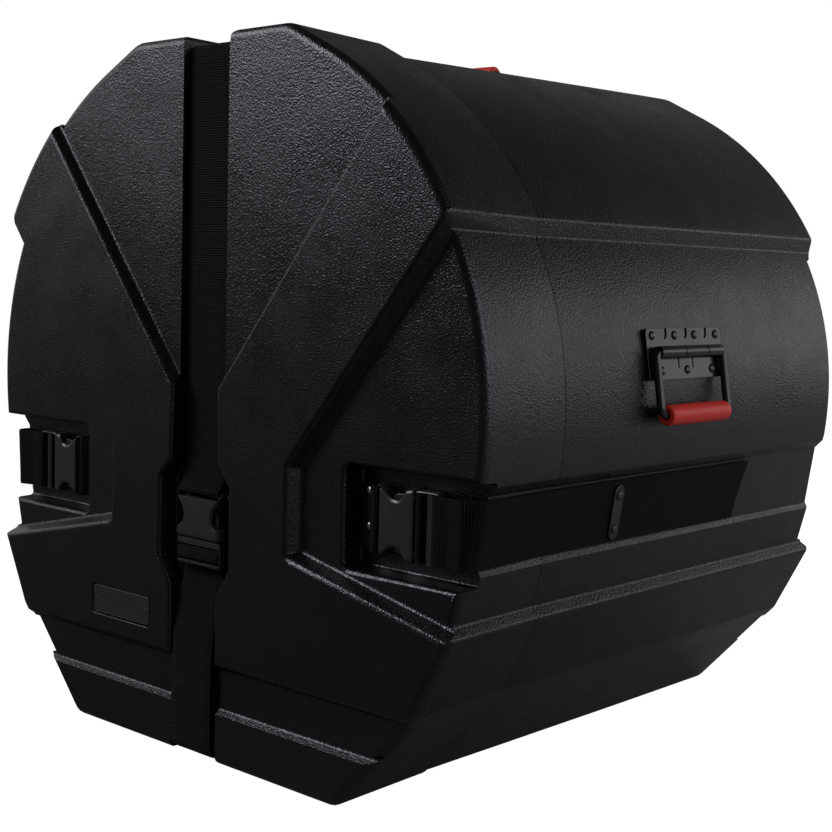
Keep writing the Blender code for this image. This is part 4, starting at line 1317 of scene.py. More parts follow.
@dataclass
class Buckle:
    """A side release buckle: a hollow socket with side windows, and a plug with prongs."""

    word: str
    place: Place
    acetal: bpy.types.Material
    low: float = 0.0026
    high: float = 0.0125
    bar_top: float = 0.0086

    @staticmethod
    def section(half: float, low: float, high: float, top: float, foot: float = 0.0010) -> Outline:
        """A section with its top and bottom edges rounded."""
        return rounded(square((-half, low), (half, high)), (foot, foot, top, top), 5)

    def socket(self) -> bpy.types.Object:
        """The hollow half.

        Returns:
            The socket.
        """
        # Place along, half width and height: the rounded shoulder, the waist and the mouth
        sides = [(-0.0394, 0.0258, 0.0074), (-0.0390, 0.0267, 0.0084), (-0.0374, 0.0271, 0.0098)]
        sides += [(-0.0355, 0.0272, 0.0109), (-0.0338, 0.0271, 0.0119), (-0.0326, 0.0266, 0.0123)]
        waist = [(-0.0310, 0.0256), (-0.0290, 0.0240), (-0.0268, 0.0222), (-0.0246, 0.0206)]
        waist += [(-0.0222, 0.0193), (-0.0196, 0.0185), (-0.0168, 0.0183), (-0.0146, 0.0186)]
        waist += [(-0.0128, 0.0194), (-0.0114, 0.0206), (-0.0100, 0.0226), (-0.0088, 0.0247)]
        waist += [(-0.0076, 0.0262), (-0.0058, 0.0270)]
        sides += [(x, half, self.high) for x, half in waist]
        sides += [(-0.0018, 0.0272, 0.0122), (-0.0006, 0.0270, 0.0118), (-0.0001, 0.0264, 0.0112)]
        sections = []
        for x, half, high in sides:
            edge = 0.0040 if x > -0.0330 else 0.0022
            sections.append((x, self.section(half, self.low, high, edge)))
        socket = self.place.run(f"socket_{self.word}", sections)
        hollow = (-0.0305, -0.0225, self.low + 0.0018), (0.010, 0.0225, self.high - 0.0020)
        fuse(socket, self.place.box("tool_mouth", *hollow))
        fuse(socket, self.place.box("tool_slot", (-0.0376, -0.0257, -0.01), (-0.0328, 0.0257, 0.03)))
        fuse(socket, self.place.box("tool_bar", (-0.0420, -0.0257, self.bar_top), (-0.0350, 0.0257, 0.03)))
        tidy(socket, 0.00002, 0.5)
        soften(socket, 0.0005, 2, 48.0)
        return smooth(socket, 60.0)

    def plug(self) -> bpy.types.Object:
        """The prong half with its ladder.

        Returns:
            The plug.
        """
        sides = [(0.0012, 0.0262, 0.0096), (0.0016, 0.0267, 0.0102), (0.0032, 0.0268, 0.0103)]
        sides += [(0.0064, 0.0269, 0.0103), (0.0196, 0.0269, 0.0104), (0.0214, 0.0268, 0.0107)]
        sides += [(0.0226, 0.0264, 0.0103), (0.0234, 0.0254, 0.0090)]
        sections = [(x, self.section(half, self.low, high, 0.0016)) for x, half, high in sides]
        plug = self.place.run(f"plug_{self.word}", sections)
        for start, end in ((0.00625, 0.01075), (0.01555, 0.02005)):
            fuse(plug, self.place.box("tool_ladder", (start, -0.0258, -0.01), (end, 0.0258, 0.03)))
        fuse(plug, self.place.box("tool_rung", (0.0080, -0.0258, 0.0088), (0.0180, 0.0258, 0.03)))
        tidy(plug, 0.00002, 0.5)
        soften(plug, 0.0005, 2, 48.0)
        low, high = self.low + 0.0023, self.high - 0.0048
        parts = [plug]
        arm = [(0.004, 0.0125), (0.004, 0.0190), (-0.0080, 0.0207), (-0.0130, 0.0219), (-0.0200, 0.0219)]
        arm += [(-0.0250, 0.0168), (-0.0250, 0.0140), (-0.0205, 0.0165), (-0.0140, 0.0165)]
        radii = (0.0, 0.0, 0.003, 0.002, 0.003, 0.0012, 0.001, 0.002, 0.002)
        for side in (-1, 1):
            outline = rounded([(x, side * y) for x, y in arm], radii, 3)
            prong = self.place.stack(f"prong_{side}", [(low, outline), (high, outline)])
            parts.append(soften(prong, 0.0006, 3, 50.0))
        guide = [(0.004, -0.0030), (0.004, 0.0030), (-0.0230, 0.0018), (-0.0230, -0.0018)]
        parts.append(soften(self.place.stack("guide", [(low, guide), (high - 0.0003, guide)]), 0.0005, 2))
        return smooth(gathered(f"plug_{self.word}", parts), 60.0)

    def build(self) -> None:
        """Makes both halves."""
        node = f"buckle_{self.word}"
        hand_over(self.socket(), self.acetal, "lid", [f"{node}_socket"])
        hand_over(self.plug(), self.acetal, f"{self.word}_plug", [f"{node}_plug"])


@dataclass
class StrapRun:
    """All webbing on the case: over the lid, round both sides and in the pockets."""

    form: CaseForm
    webbing: Webbing
    steel: bpy.types.Material
    lift: float = 0.0013
    bar_reach: float = 0.0395
    join_x: float = 0.2560
    join_y: float = FRONT_Y + 0.0196
    over: float = 0.0102
    channel_foot: Flat = (0.2700, 0.1945)
    channel_run: Flat = (0.0075, 0.0535)

    def ladder(self, flip: bool = False) -> Outline:
        """Path through a plug's ladder, from its tail out to the strap.

        Args:
            flip: Whether the strap leaves over the outer bar.

        Returns:
            Pairs of distance from the socket's mouth and height.
        """
        low, over = 0.0012, self.over
        path = [(0.0030, low), (0.0068, low), (0.0084, low + 0.0022), (0.0087, over - 0.0014), (0.0100, over)]
        path += [(0.01315, over + 0.0003), (0.0163, over), (0.0177, over - 0.0014), (0.0180, low + 0.0022)]
        path += [(0.0196, low), (0.0245, low)]
        if flip:
            over = 0.0120
            path = [(0.0030, over - 0.0006), (0.0062, over - 0.0006), (0.0078, over - 0.0020)]
            path += [(0.0083, low + 0.0026), (0.0096, low), (0.01315, low), (0.0166, low)]
            path += [(0.0180, low + 0.0026), (0.0183, over - 0.0016), (0.0198, over), (0.0240, over + 0.0002)]
        return path

    def loop(self, bar: float) -> Outline:
        """Path of a doubled end round a socket's bar, from the top layer to the bottom one.

        Args:
            bar: Where the bar lies along the path.

        Returns:
            Pairs of place along and height.
        """
        low, high = 0.0012, 0.0104
        slot = bar - 0.0029
        path = [(bar + 0.0245, low + 0.0021), (bar + 0.0110, low + 0.0024), (bar + 0.0045, low + 0.0056)]
        path += [(bar + 0.0012, high - 0.0008), (bar - 0.0008, high), (slot + 0.0007, high - 0.0008)]
        path += [(slot, high - 0.0028), (slot, low + 0.0022), (slot + 0.0012, low + 0.0004)]
        path.append((bar + 0.0005, low))
        return path

    def channel(self, side: Side, y: float) -> Vector:
        """The middle of the side channel's floor at a place along the case.

        Args:
            side: Which side.
            y: World Y of the place.

        Returns:
            The point on the floor.
        """
        (foot_x, foot_z), (run_x, run_z) = self.channel_foot, self.channel_run
        x = foot_x + run_x * (STRAP_Z - foot_z) / run_z
        on_lid = y < SEAM_Y
        growth = LID_GROWTH if on_lid else TUB_GROWTH
        share = (SEAM_Y - y) / (LID_DEPTH if on_lid else LID_DEPTH - CASE_DEPTH)
        widened = self.form.grown([(x, STRAP_Z)], growth, share)
        return Vector((side.value * widened[0][0], y, STRAP_Z))

    def channel_ways(self, side: Side) -> tuple[Vector, Vector]:
        """Across and outward directions of the side channel's floor."""
        run = Vector((self.channel_run[0], 0.0, self.channel_run[1])).normalized()
        return Vector((side.value * run.x, 0.0, run.z)), Vector((side.value * run.z, 0.0, -run.x))

    def side_strap(self, side: Side) -> None:
        """The webbing from one side plug round the corner to its end on the tub.

        Args:
            side: Which side.
        """
        sign, seat = side.value, POCKET_FLOOR_Y - SEAT
        ladder = []
        for local_x, local_z in self.ladder(flip=True):
            ladder.append(((sign * (MOUTH_X + local_x), seat - local_z, STRAP_Z), UP, FRONT))
        join = Vector((sign * self.join_x, self.join_y, STRAP_Z))
        across, outward = self.channel_ways(side)
        edge = self.channel(side, POCKET_FLOOR_Y)
        bend = Vector((edge.x - sign * 0.0044, POCKET_FLOOR_Y - 0.0166, STRAP_Z))
        run = (bend - join).normalized()
        facing = (FRONT - run * FRONT.dot(run)).normalized()
        ladder.append((join - run * 0.0001, UP, (facing + FRONT).normalized()))
        strap = self.webbing.lay(f"webbing_{side.word}_front", ladder, 0.0012, 0.004)
        bend_ends = (self.join_x * sign - sign * 0.0080, 0.0, 0.0), (self.join_x * sign, 0.0, 0.0)
        body = (f"{side.word}_plug", "lid", *bend_ends)
        hand_over(strap, self.webbing.material, body, [f"strap_{side.word}_front"])
        stations = [(join, UP, (facing + FRONT).normalized()), (join.lerp(bend, 0.55), UP, facing)]
        stations.append((bend, (UP * 2 + across).normalized(), (facing * 2 + outward).normalized()))
        corner = edge + Vector((sign * 0.0016, -0.0050, 0.0))
        stations.append((corner, across, (facing + outward * 2).normalized()))
        for y in (POCKET_FLOOR_Y + 0.0060, SEAM_Y - 0.0120, SEAM_Y + 0.0005, FRONT_Y + 0.3880):
            stations.append((self.channel(side, y) + outward * self.lift, across, outward))
        strap = self.webbing.lay(f"webbing_{side.word}_side", stations, 0.0060, 0.006, 0.0080)
        hand_over(strap, self.webbing.material, SEAM_BEND, [f"strap_{side.word}_side"])

    def tab(self, side: Side) -> None:
        """The short doubled tab that holds a side socket, with its two rivets.

        Args:
            side: Which side.
        """
        sign, seat, end_x = side.value, POCKET_FLOOR_Y - SEAT, 0.1650
        bar = -(MOUTH_X - self.bar_reach)
        stations = []
        for local_x, local_z in self.loop(bar):
            stations.append(((-sign * local_x, seat - local_z, STRAP_Z), UP, FRONT))
        stations[0] = ((sign * end_x, stations[0][0][1], STRAP_Z), UP, FRONT)
        stations.append(((sign * end_x, stations[-1][0][1], STRAP_Z), UP, FRONT))
        strap = self.webbing.lay(f"webbing_{side.word}_tab", stations, 0.0012, 0.004)
        hand_over(strap, self.webbing.material, "lid", [f"buckle_{side.word}_tab"])
        place = Place((sign * 0.1732, POCKET_FLOOR_Y - 0.0048, STRAP_Z), ACROSS, FRONT)
        for rise, end in ((0.0200, "a"), (-0.0065, "b")):
            head = place.dome(f"tab_stud_{side.word}_{end}", (0.0, rise), 0.0, 0.0032, 0.0016)
            smooth(head, 60.0, False)
            hand_over(head, self.steel, "lid", [f"tab_rivet_{side.word}_{end}"])

    def upper(self) -> None:
        """The strap from the centre socket up the groove and over the lid to its end on the tub."""
        base, face, top = GROOVE_FLOOR_Y - SEAT, GROOVE_FLOOR_Y - self.lift, TOP_GROOVE_Z + self.lift
        bar = MOUTH_Z + self.bar_reach
        stations = [((0.0, base - depth, z), ACROSS, FRONT) for z, depth in self.loop(bar)]
        rise = [(base - 0.0012, bar + 0.020), (face, bar + 0.06), (face, top - 0.0070)]
        rise.append((face + 0.0009, top - 0.0014))
        stations += [((0.0, y, z), ACROSS, FRONT) for y, z in rise]
        over = [(face + 0.0060, top), (SEAM_Y - 0.0005, top), (SEAM_Y + 0.0060, top - 0.0012)]
        for y, slack in ((SEAM_Y + 0.0180, 0.0012), (SEAM_Y + 0.0240, 0.0), (FRONT_Y + 0.2320, 0.0)):
            over.append((y, self.form.top_height(y) + self.lift + 0.0001 + slack))
        stations += [((0.0, y, z), ACROSS, UP) for y, z in over]
        strap = self.webbing.lay("webbing_centre_upper", stations, 0.0022, 0.006, 0.0060)
        hand_over(strap, self.webbing.material, SEAM_BEND, ["strap_centre_upper"])

    def lower(self) -> None:
        """The strap from the centre plug down to the lid's lower edge, and its run under the case."""
        base, proud, floor = GROOVE_FLOOR_Y - SEAT, FRONT_Y + 0.0032, UNDER_GROOVE_Z - self.lift
        stations = [((0.0, base - depth, MOUTH_Z - down), ACROSS, FRONT) for down, depth in self.ladder()]
        fall = [(-0.0012, proud + 0.0070, 0.136), (-0.0024, proud + 0.0012, 0.100)]
        fall += [(-0.0026, proud, 0.070), (-0.0026, proud, 0.0231)]
        stations += [(point, ACROSS, FRONT) for point in fall]
        strap = self.webbing.lay("webbing_centre_lower", stations, 0.0012, 0.004)
        body = ("centre_plug", "lid", (0.0, 0.0, 0.1500), (0.0, 0.0, 0.0300))
        hand_over(strap, self.webbing.material, body, ["strap_centre_lower"])
        edge = [(-0.0026, proud, 0.0230), (-0.0025, proud + 0.0004, 0.0084)]
        stations = [(point, ACROSS, FRONT) for point in edge]
        stations.append(((-0.0024, proud + 0.0028, 0.0042), ACROSS, (FRONT - UP).normalized()))
        under = [(-0.0022, proud + 0.0090, 0.0030), (-0.0012, proud + 0.0320, floor)]
        under += [(0.0, SEAM_Y - 0.004, floor), (0.0, SEAM_Y + 0.004, floor), (0.0, FRONT_Y + 0.2320, floor)]
        stations += [(point, ACROSS, -UP) for point in under]
        strap = self.webbing.lay("webbing_centre_bottom", stations, 0.0022, 0.006)
        hand_over(strap, self.webbing.material, SEAM_BEND, ["strap_centre_bottom"])

    def build(self) -> None:
        """Lays every strap."""
        self.upper()
        self.lower()
        for side in Side:
            self.side_strap(side)
            self.tab(side)


@dataclass
class StrapPlate:
    """An oblong steel plate over a strap's end, with its two rivets."""

    word: str
    place: Place
    steel: bpy.types.Material
    width: float = 0.0125
    length: float = 0.0445
    thickness: float = 0.0020
    pitch: float = 0.0275

    def outline(self, inset: float) -> Outline:
        """The plate's round-ended outline, drawn in.

        Args:
            inset: How far it is drawn in.

        Returns:
            The outline.
        """
        half, radius = (self.length - self.width) / 2, self.width / 2 - inset
        top = arc((0.0, half), radius, 0.0, math.pi, 12)
        return top + arc((0.0, -half), radius, math.pi, 2 * math.pi, 12)

    def build(self) -> None:
        """Makes the plate and its rivets."""
        thick = self.thickness
        edge = [(0.0, 0.0002), (0.0002, 0.0), (thick - 0.0005, 0.0)]
        edge += [(thick - 0.0001, 0.0003), (thick, 0.0007)]
        plate = self.place.stack(f"plate_{self.word}", [(z, self.outline(inset)) for z, inset in edge])
        for end, sign in (("a", 1), ("b", -1)):
            rise = sign * self.pitch / 2
            ring = [(x, rise + y) for x, y in circle(0.0021, 20)]
            fuse(plate, self.place.stack("tool_hole", [(-0.005, ring), (0.005, ring)]))
            name = f"rivet_{self.word}_{end}"
            rivet = self.place.dome(name, (0.0, rise), thick + 0.0002, 0.0037, 0.0015, thick)
            smooth(rivet, 60.0, False)
            hand_over(rivet, self.steel, "tub", [f"strap_rivet_{self.word}_{end}"])
        smooth(tidy(plate, 0.00002, 0.5), 50.0)
        hand_over(plate, self.steel, "tub", [f"strap_plate_{self.word}"])


@dataclass
class Handle:
    """A sprung handle: notched plate with a rolled hinge, wire bail and red grip."""

    word: str
    place: Place
    rest: float
    steel: bpy.types.Material
    rubber: bpy.types.Material
    hinge: float = 0.0056
    half: float = 0.0560
    top: float = 0.0195
    low: float = 0.0214
    thickness: float = 0.0019
    barrel_half: float = 0.0462
    spacing: float = 0.1000
    leg: float = 0.0497
    rod: float = 0.0033
    bend: float = 0.0075
    grip_half: float = 0.0437
    grip_radius: float = 0.0081

    def plate_outline(self) -> tuple[Outline, list[float]]:
        """The plate's outline with its three hooked notches.

        Returns:
            The corners and their radii.
        """
        corners = [(-self.half, -self.low), (self.half, -self.low), (self.half, self.top)]
        radii = [0.0030, 0.0030, 0.0035]
        for centre in (0.0325, 0.0025, -0.0275):
            hook = [(0.0017, 0.0), (0.0016, -0.0048), (0.0004, -0.0074), (-0.0018, -0.0090)]
            hook += [(-0.0030, -0.0080), (-0.0016, -0.0060), (-0.0012, -0.0040), (-0.0014, 0.0)]
            corners += [(centre + x, self.top + y) for x, y in hook]
            radii += [0.0008, 0.0020, 0.0030, 0.0006, 0.0006, 0.0010, 0.0020, 0.0008]
        return corners + [(-self.half, self.top)], radii + [0.0035]

    def plate(self) -> bpy.types.Object:
        """The back plate with its slits, rivet heads and rolled barrel.

        Returns:
            The plate.
        """
        corners, radii = self.plate_outline()
        outline = rounded(corners, radii, 4)
        plate = self.place.stack(f"hinge_plate_{self.word}", [(-0.0009, outline), (self.thickness, outline)])
        for centre in (-0.0120, 0.0090):
            slit = (centre - 0.0008, -0.0128, -0.01), (centre + 0.0008, -0.0030, 0.0040)
            fuse(plate, self.place.box("tool_slit", *slit))
        soften(plate, 0.0004, 2, 30.0)
        parts = [plate]
        heads = [(x, 0.0138) for x in (-0.0477, -0.0150, 0.0150, 0.0477)]
        heads += [(x, -0.0144) for x in (-0.0375, 0.0, 0.0375)]
        for head in heads:
            parts.append(self.place.dome("head", head, self.thickness - 0.0001, 0.0037, 0.0020))
        parts.append(self.barrel())
        return smooth(gathered(f"hinge_plate_{self.word}", parts), 45.0)

    def barrel(self) -> bpy.types.Object:
        """The rolled barrel: three knuckles on one bore, closed to the plate behind.

        Returns:
            The barrel.
        """
        end, full, neck = self.barrel_half, 0.0051, 0.0043
        profile = [(-end, 0.0040), (-end, full - 0.0006), (-end + 0.0006, full)]
        for joint in (-0.0120, 0.0220):
            profile += [(joint - 0.0009, full), (joint - 0.0006, full - 0.0002), (joint - 0.0005, neck)]
            profile += [(joint + 0.0005, neck), (joint + 0.0006, full - 0.0002), (joint + 0.0009, full)]
        profile += [(end - 0.0006, full), (end, full - 0.0006), (end, 0.0040)]
        sections = [(x, [(y, z + self.hinge) for y, z in circle(radius, 28)]) for x, radius in profile]
        barrel = self.place.run("barrel", sections)
        bore = [(y, z + self.hinge) for y, z in circle(0.0038, 24)]
        fuse(barrel, self.place.run("tool_bore", [(-0.08, bore), (0.08, bore)]))
        web = (-end + 0.0010, -0.0012, 0.0004), (end - 0.0010, 0.0048, 0.0034)
        return gathered("barrel", [barrel, self.place.box("web", *web)])

    def swung(self) -> Place:
        """The local frame of the bail, which turns about the hinge.

        Returns:
            The frame.
        """
        along, outward = Vector(self.place.along).normalized(), Vector(self.place.outward).normalized()
        bail_out = outward * math.cos(self.rest) + outward.cross(along) * math.sin(self.rest)
        return Place(Vector(self.place.origin) + outward * self.hinge, along, bail_out)

    def bail(self) -> bpy.types.Object:
        """The wire bail, its ends turned into the barrel.

        Returns:
            The bail.
        """
        half, drop, bend = self.spacing / 2, -self.leg, self.bend
        right = [(0.0262, 0.0), (0.0420, 0.0)]
        for k in range(7):
            turn = math.pi / 2 * k / 6
            right.append((half - 0.0050 + 0.0050 * math.sin(turn), -0.0050 + 0.0050 * math.cos(turn)))
        for k in range(9):
            turn = math.pi / 2 * k / 8
            right.append((half - bend + bend * math.cos(turn), drop + bend - bend * math.sin(turn)))
        path = right + [(-x, y) for x, y in reversed(right)]
        place, rings = self.swung(), []
        for i, (x, y) in enumerate(path):
            before, after = Vector(path[max(i - 1, 0)]), Vector(path[min(i + 1, len(path) - 1)])
            along = (after - before).normalized()
            rings.append([place.at(x - along.y * u, y + along.x * u, v) for u, v in circle(self.rod, 18)])
        return smooth(loft(f"bail_{self.word}", rings), 50.0, False)

    def grip(self) -> bpy.types.Object:
        """The red grip, softly barrelled, with its ends dished where the wire goes in.

        Returns:
            The grip.
        """
        half, full, profile = self.grip_half, self.grip_radius, [(0.0, 0.0042), (0.0, 0.0052)]
        for k in range(6):
            turn = math.radians(90 * k / 5)
            profile.append((0.0022 * (1 - math.cos(turn)) - 0.0002, full - 0.0018 + 0.0018 * math.sin(turn)))
        profile += [(0.010, full + 0.00015), (0.025, full + 0.00025), (half, full + 0.0003)]
        profile = [(-half + x, r) for x, r in profile]
        profile += [(-x, r) for x, r in reversed(profile[:-1])]
        place = self.swung()
        rings = []
        for x, radius in profile:
            rings.append([place.at(x, y - self.leg, z) for y, z in circle(radius, 32)])
        grip = loft(f"grip_{self.word}", rings)
        bore = [(y - self.leg, z) for y, z in circle(self.rod + 0.0003, 24)]
        fuse(grip, place.run("tool_grip", [(-0.08, bore), (0.08, bore)]))
        for side in (-1, 1):
            ring = []
            for k in range(11):
                turn = math.pi / 2 * k / 10
                x = self.spacing / 2 - self.bend + self.bend * math.sin(turn)
                middle = (side * x, -self.leg + self.bend - self.bend * math.cos(turn))
                way = (side * math.sin(turn), -math.cos(turn))
                room = circle(self.rod + 0.0004, 18)
                ring.append([place.at(middle[0] + way[0] * u, middle[1] + way[1] * u, v) for u, v in room])
            fuse(grip, loft("tool_corner", ring))
        return smooth(tidy(grip, 0.00001, 0.2), 40.0)

    def build(self) -> None:
        """Makes the plate, the bail and the grip."""
        node, body = f"handle_{self.word}", f"{self.word}_bail"
        hand_over(self.plate(), self.steel, "tub", [f"{node}_plate"])
        hand_over(self.bail(), self.steel, body, [f"{node}_bail"])
        hand_over(self.grip(), self.rubber, body, [f"{node}_grip"])


@dataclass
class Badge:
    """The bare plate in its recess, with raised rim and no marking."""

    plastic: bpy.types.Material
    centre: Flat = BADGE_CENTRE
    size: Flat = (0.078, 0.024)

    def build(self) -> None:
        """Makes the plate and its studs."""
        place = Place((self.centre[0], FRONT_Y, self.centre[1]), ACROSS, FRONT)
        half_x, half_y = self.size[0] / 2, self.size[1] / 2
        corners = square((-half_x, -half_y), (half_x, half_y))
        edge = [(-0.0019, 0.0), (-0.0010, 0.0), (-0.0007, 0.0001)]
        edge += [(-0.0005, 0.0004), (-0.0005, 0.0010), (-0.0008, 0.0014)]
        layers = []
        for z, inset in edge:
            radius = max(0.0030 - inset, 0.0012)
            layers.append((z, rounded(offset(corners, -inset), (radius,) * 4, 5)))
        parts = [smooth(place.stack("badge", layers), 40.0)]
        for sign in (-1, 1):
            parts.append(place.dome("badge_stud", (sign * (half_x - 0.005), 0.0), -0.0009, 0.0015, 0.0006))
        plate = smooth(gathered("bare_plate", parts), 40.0)
        hand_over(plate, self.plastic, "lid", ["badge_plate"])


@dataclass
class Padding:
    """Foam inside: a sleeve round the tub, a sheet at its back and a disc in the lid."""

    form: CaseForm
    cavity: Outline
    foam: bpy.types.Material

    @staticmethod
    def slab(name: str, outline: Outline, *ends: float) -> bpy.types.Object:
        """A block of one outline between two places along the case."""
        return loft(name, [[Vector((x, y, z)) for x, z in outline] for y in ends])

    def give(self, piece: bpy.types.Object, body: str, node: str) -> None:
        """Rounds a foam piece's edges and hands it over.

        Args:
            piece: The foam.
            body: The body that it lies in.
            node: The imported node.
        """
        smooth(soften(piece, 0.0016, 3, 50.0), 50.0)
        hand_over(piece, self.foam, body, [node])

    def build(self) -> None:
        """Makes the three pieces of foam."""
        outer, inner = self.form.drawn_in(self.cavity, 0.0006), self.form.drawn_in(self.cavity, 0.0075)
        sleeve = self.slab("padding_sleeve", outer, SEAM_Y - 0.006, BACK_Y - 0.0235)
        fuse(sleeve, self.slab("tool_bore", inner, SEAM_Y - 0.03, BACK_Y - 0.010))
        self.give(sleeve, "tub", "foam_sleeve")
        back = self.slab("padding_back", outer, BACK_Y - 0.0230, BACK_Y - 0.0145)
        self.give(back, "tub", "foam_back_pad")
        disc = [(x, z + 0.300) for x, z in circle(0.140, 64)]
        front = self.slab("padding_lid", disc, FRONT_Y + 0.0233, FRONT_Y + 0.0330)
        self.give(front, "lid", "foam_lid_pad")


# Studio


@dataclass(frozen=True)
class Lamp:
    """One soft box: where it stands, what it faces, its size and its power."""

    name: str
    place: tuple[float, float, float]
    size: tuple[float, float]
    watts: float
    aim: tuple[float, float, float] = (0.0, -0.05, 0.32)

    def light(self) -> None:
        """Switches the soft box on."""
        deselect()
        turn = (Vector(self.place) - Vector(self.aim)).to_track_quat("Z", "Y").to_euler()
        bpy.ops.object.light_add(type="AREA", location=self.place, rotation=turn)
        lamp = bpy.context.object
        lamp.name = self.name
        lamp.data.shape = "RECTANGLE"
        lamp.data.size, lamp.data.size_y = self.size
        lamp.data.energy = self.watts


@dataclass
class Studio:
    """Camera, floor, world and lamps."""

    focal_mm: float = 62.95
    place: tuple[float, float, float] = (0.9114, -1.0174, 0.4015)
    azimuth: float = 41.90
    elevation: float = 5.58
    roll: float = 1.55
    behind: tuple[float, float, float] = (0.67, 0.74, 0.0)
    lamps: tuple[Lamp, ...] = (
        Lamp("front_box", (-1.9, -2.1, 1.5), (1.2, 0.9), 18.0),
        Lamp("high_box", (-1.7, -1.9, 2.4), (1.3, 1.0), 32.0),
        Lamp("left_wall", (-3.0, -0.3, 1.4), (2.6, 2.2), 9.0),
        Lamp("right_wall", (3.0, 0.5, 1.3), (2.4, 2.0), 24.0),
        Lamp("back_box", (1.6, 2.6, 0.9), (1.8, 1.2), 5.5),
    )

    def camera(self) -> None:
        """Sets the camera at the photograph's viewpoint."""
        a, e, r = (math.radians(v) for v in (self.azimuth, self.elevation, self.roll))
        back = Vector((math.sin(a) * math.cos(e), -math.cos(a) * math.cos(e), math.sin(e)))
        right = Vector((math.cos(a), math.sin(a), 0.0))
        up = back.cross(right)
        turned = right * math.cos(r) + up * math.sin(r)
        up = up * math.cos(r) - right * math.sin(r)
        deselect()
        bpy.ops.object.camera_add(location=self.place)
        camera = bpy.context.object
        camera.rotation_euler = Matrix((turned, up, back)).transposed().to_euler()
        camera.data.lens = self.focal_mm
        camera.data.sensor_width = 36.0
        camera.data.clip_start = 0.01
        bpy.context.scene.camera = camera

    def along(self, tree: bpy.types.NodeTree, way: bpy.types.NodeSocket) -> bpy.types.NodeSocket:
        """How far a place or direction lies behind the case on the right."""
        values, links = {1: self.behind}, {0: way}
        return add_node(tree, "ShaderNodeVectorMath", values, links, operation="DOT_PRODUCT").outputs["Value"]

    @staticmethod
    def graded(
        tree: bpy.types.NodeTree, source: bpy.types.NodeSocket, span: Flat, values: Flat = (0.0, 1.0)
    ) -> bpy.types.NodeSocket:
        """Grades a value evenly from one level to another.

        Args:
            tree: The node tree.
            source: The value that decides.
            span: Where the grade begins and ends.
            values: The levels there.

        Returns:
            The graded value.
        """
        limits = {"From Min": span[0], "From Max": span[1], "To Min": values[0], "To Max": values[1]}
        return add_node(tree, "ShaderNodeMapRange", limits, {"Value": source}).outputs["Result"]

    def world(self) -> None:
        """A surround that is white to the camera and a pale low band under a dark ceiling to gloss."""
        world = bpy.data.worlds.new("white_surround")
        bpy.context.scene.world = world
        world.use_nodes = True
        tree = world.node_tree
        tree.nodes.clear()
        path = add_node(tree, "ShaderNodeLightPath").outputs
        way = add_node(tree, "ShaderNodeTexCoord").outputs["Generated"]
        height = add_node(tree, "ShaderNodeSeparateXYZ", None, {0: way}).outputs["Z"]
        low = self.graded(tree, height, (0.10, 0.25), (0.12, 0.03))
        upper = self.graded(tree, height, (0.45, 0.60), (0.12, 0.0))
        behind = self.graded(tree, self.along(tree, way), (-0.1, 0.3), (0.0, 1.0))
        inputs = {0: upper, 1: behind, 2: low}
        strength = add_node(tree, "ShaderNodeMath", None, inputs, operation="MULTIPLY_ADD").outputs[0]
        white = (1, 1, 1, 1)
        seen = add_node(tree, "ShaderNodeBackground", {"Color": white, "Strength": 1.0})
        gloss = add_node(tree, "ShaderNodeBackground", {"Color": white}, {"Strength": strength})
        fill = add_node(tree, "ShaderNodeBackground", {"Color": (0.96, 0.98, 1.0, 1), "Strength": 0.30})
        rays = {0: path["Is Glossy Ray"], 1: path["Is Transmission Ray"]}
        shiny = add_node(tree, "ShaderNodeMath", None, rays, operation="MAXIMUM")
        shaders = {0: shiny.outputs[0], 1: fill.outputs[0], 2: gloss.outputs[0]}
        mix = add_node(tree, "ShaderNodeMixShader", None, shaders)
        shaders = {0: path["Is Camera Ray"], 1: mix.outputs[0], 2: seen.outputs[0]}
        mix = add_node(tree, "ShaderNodeMixShader", None, shaders)
        add_node(tree, "ShaderNodeOutputWorld", None, {"Surface": mix.outputs[0]})

    def floor(self) -> None:
        """A pale floor that stays white to the camera and keeps the case's shadow, its colour graded as
        painted light and shade.
        """
        deselect()
        bpy.ops.mesh.primitive_plane_add(size=8.0, location=(0, 0, -0.0004))
        floor = bpy.context.object
        floor.name = "studio_floor"
        paper = Finish("studio_paper_painted_shade", "#a4a4a4", 0.9)
        material, tree, shader = paper.start()
        # Painted shade and light: greyer before the case on the left and paler behind it on the right, so
        # that the case's lower faces take less bounce and reflection at the front
        way = add_node(tree, "ShaderNodeTexCoord").outputs["Object"]
        share = self.graded(tree, self.along(tree, way), (-0.35, 0.45))
        ramp = add_node(tree, "ShaderNodeValToRGB", None, {"Fac": share})
        for element, colour in zip(ramp.color_ramp.elements, ("#3c3c3c", paper.colour)):
            element.color = linear(colour)
        tree.links.new(ramp.outputs["Color"], shader.inputs["Base Color"])
        links = {"Strength": add_node(tree, "ShaderNodeLightPath").outputs["Is Camera Ray"]}
        glow = add_node(tree, "ShaderNodeEmission", {"Color": (1, 1, 1, 1)}, links)
        both = add_node(tree, "ShaderNodeAddShader", None, {0: shader.outputs[0], 1: glow.outputs[0]})
        tree.links.new(both.outputs[0], tree.nodes["Material Output"].inputs["Surface"])
        floor.data.materials.append(material)

    def build(self) -> None:
        """Sets up the whole studio."""
        self.camera()
        self.world()
        self.floor()
        for lamp in self.lamps:
            lamp.light()
        bpy.context.scene.view_settings.view_transform = "Standard"


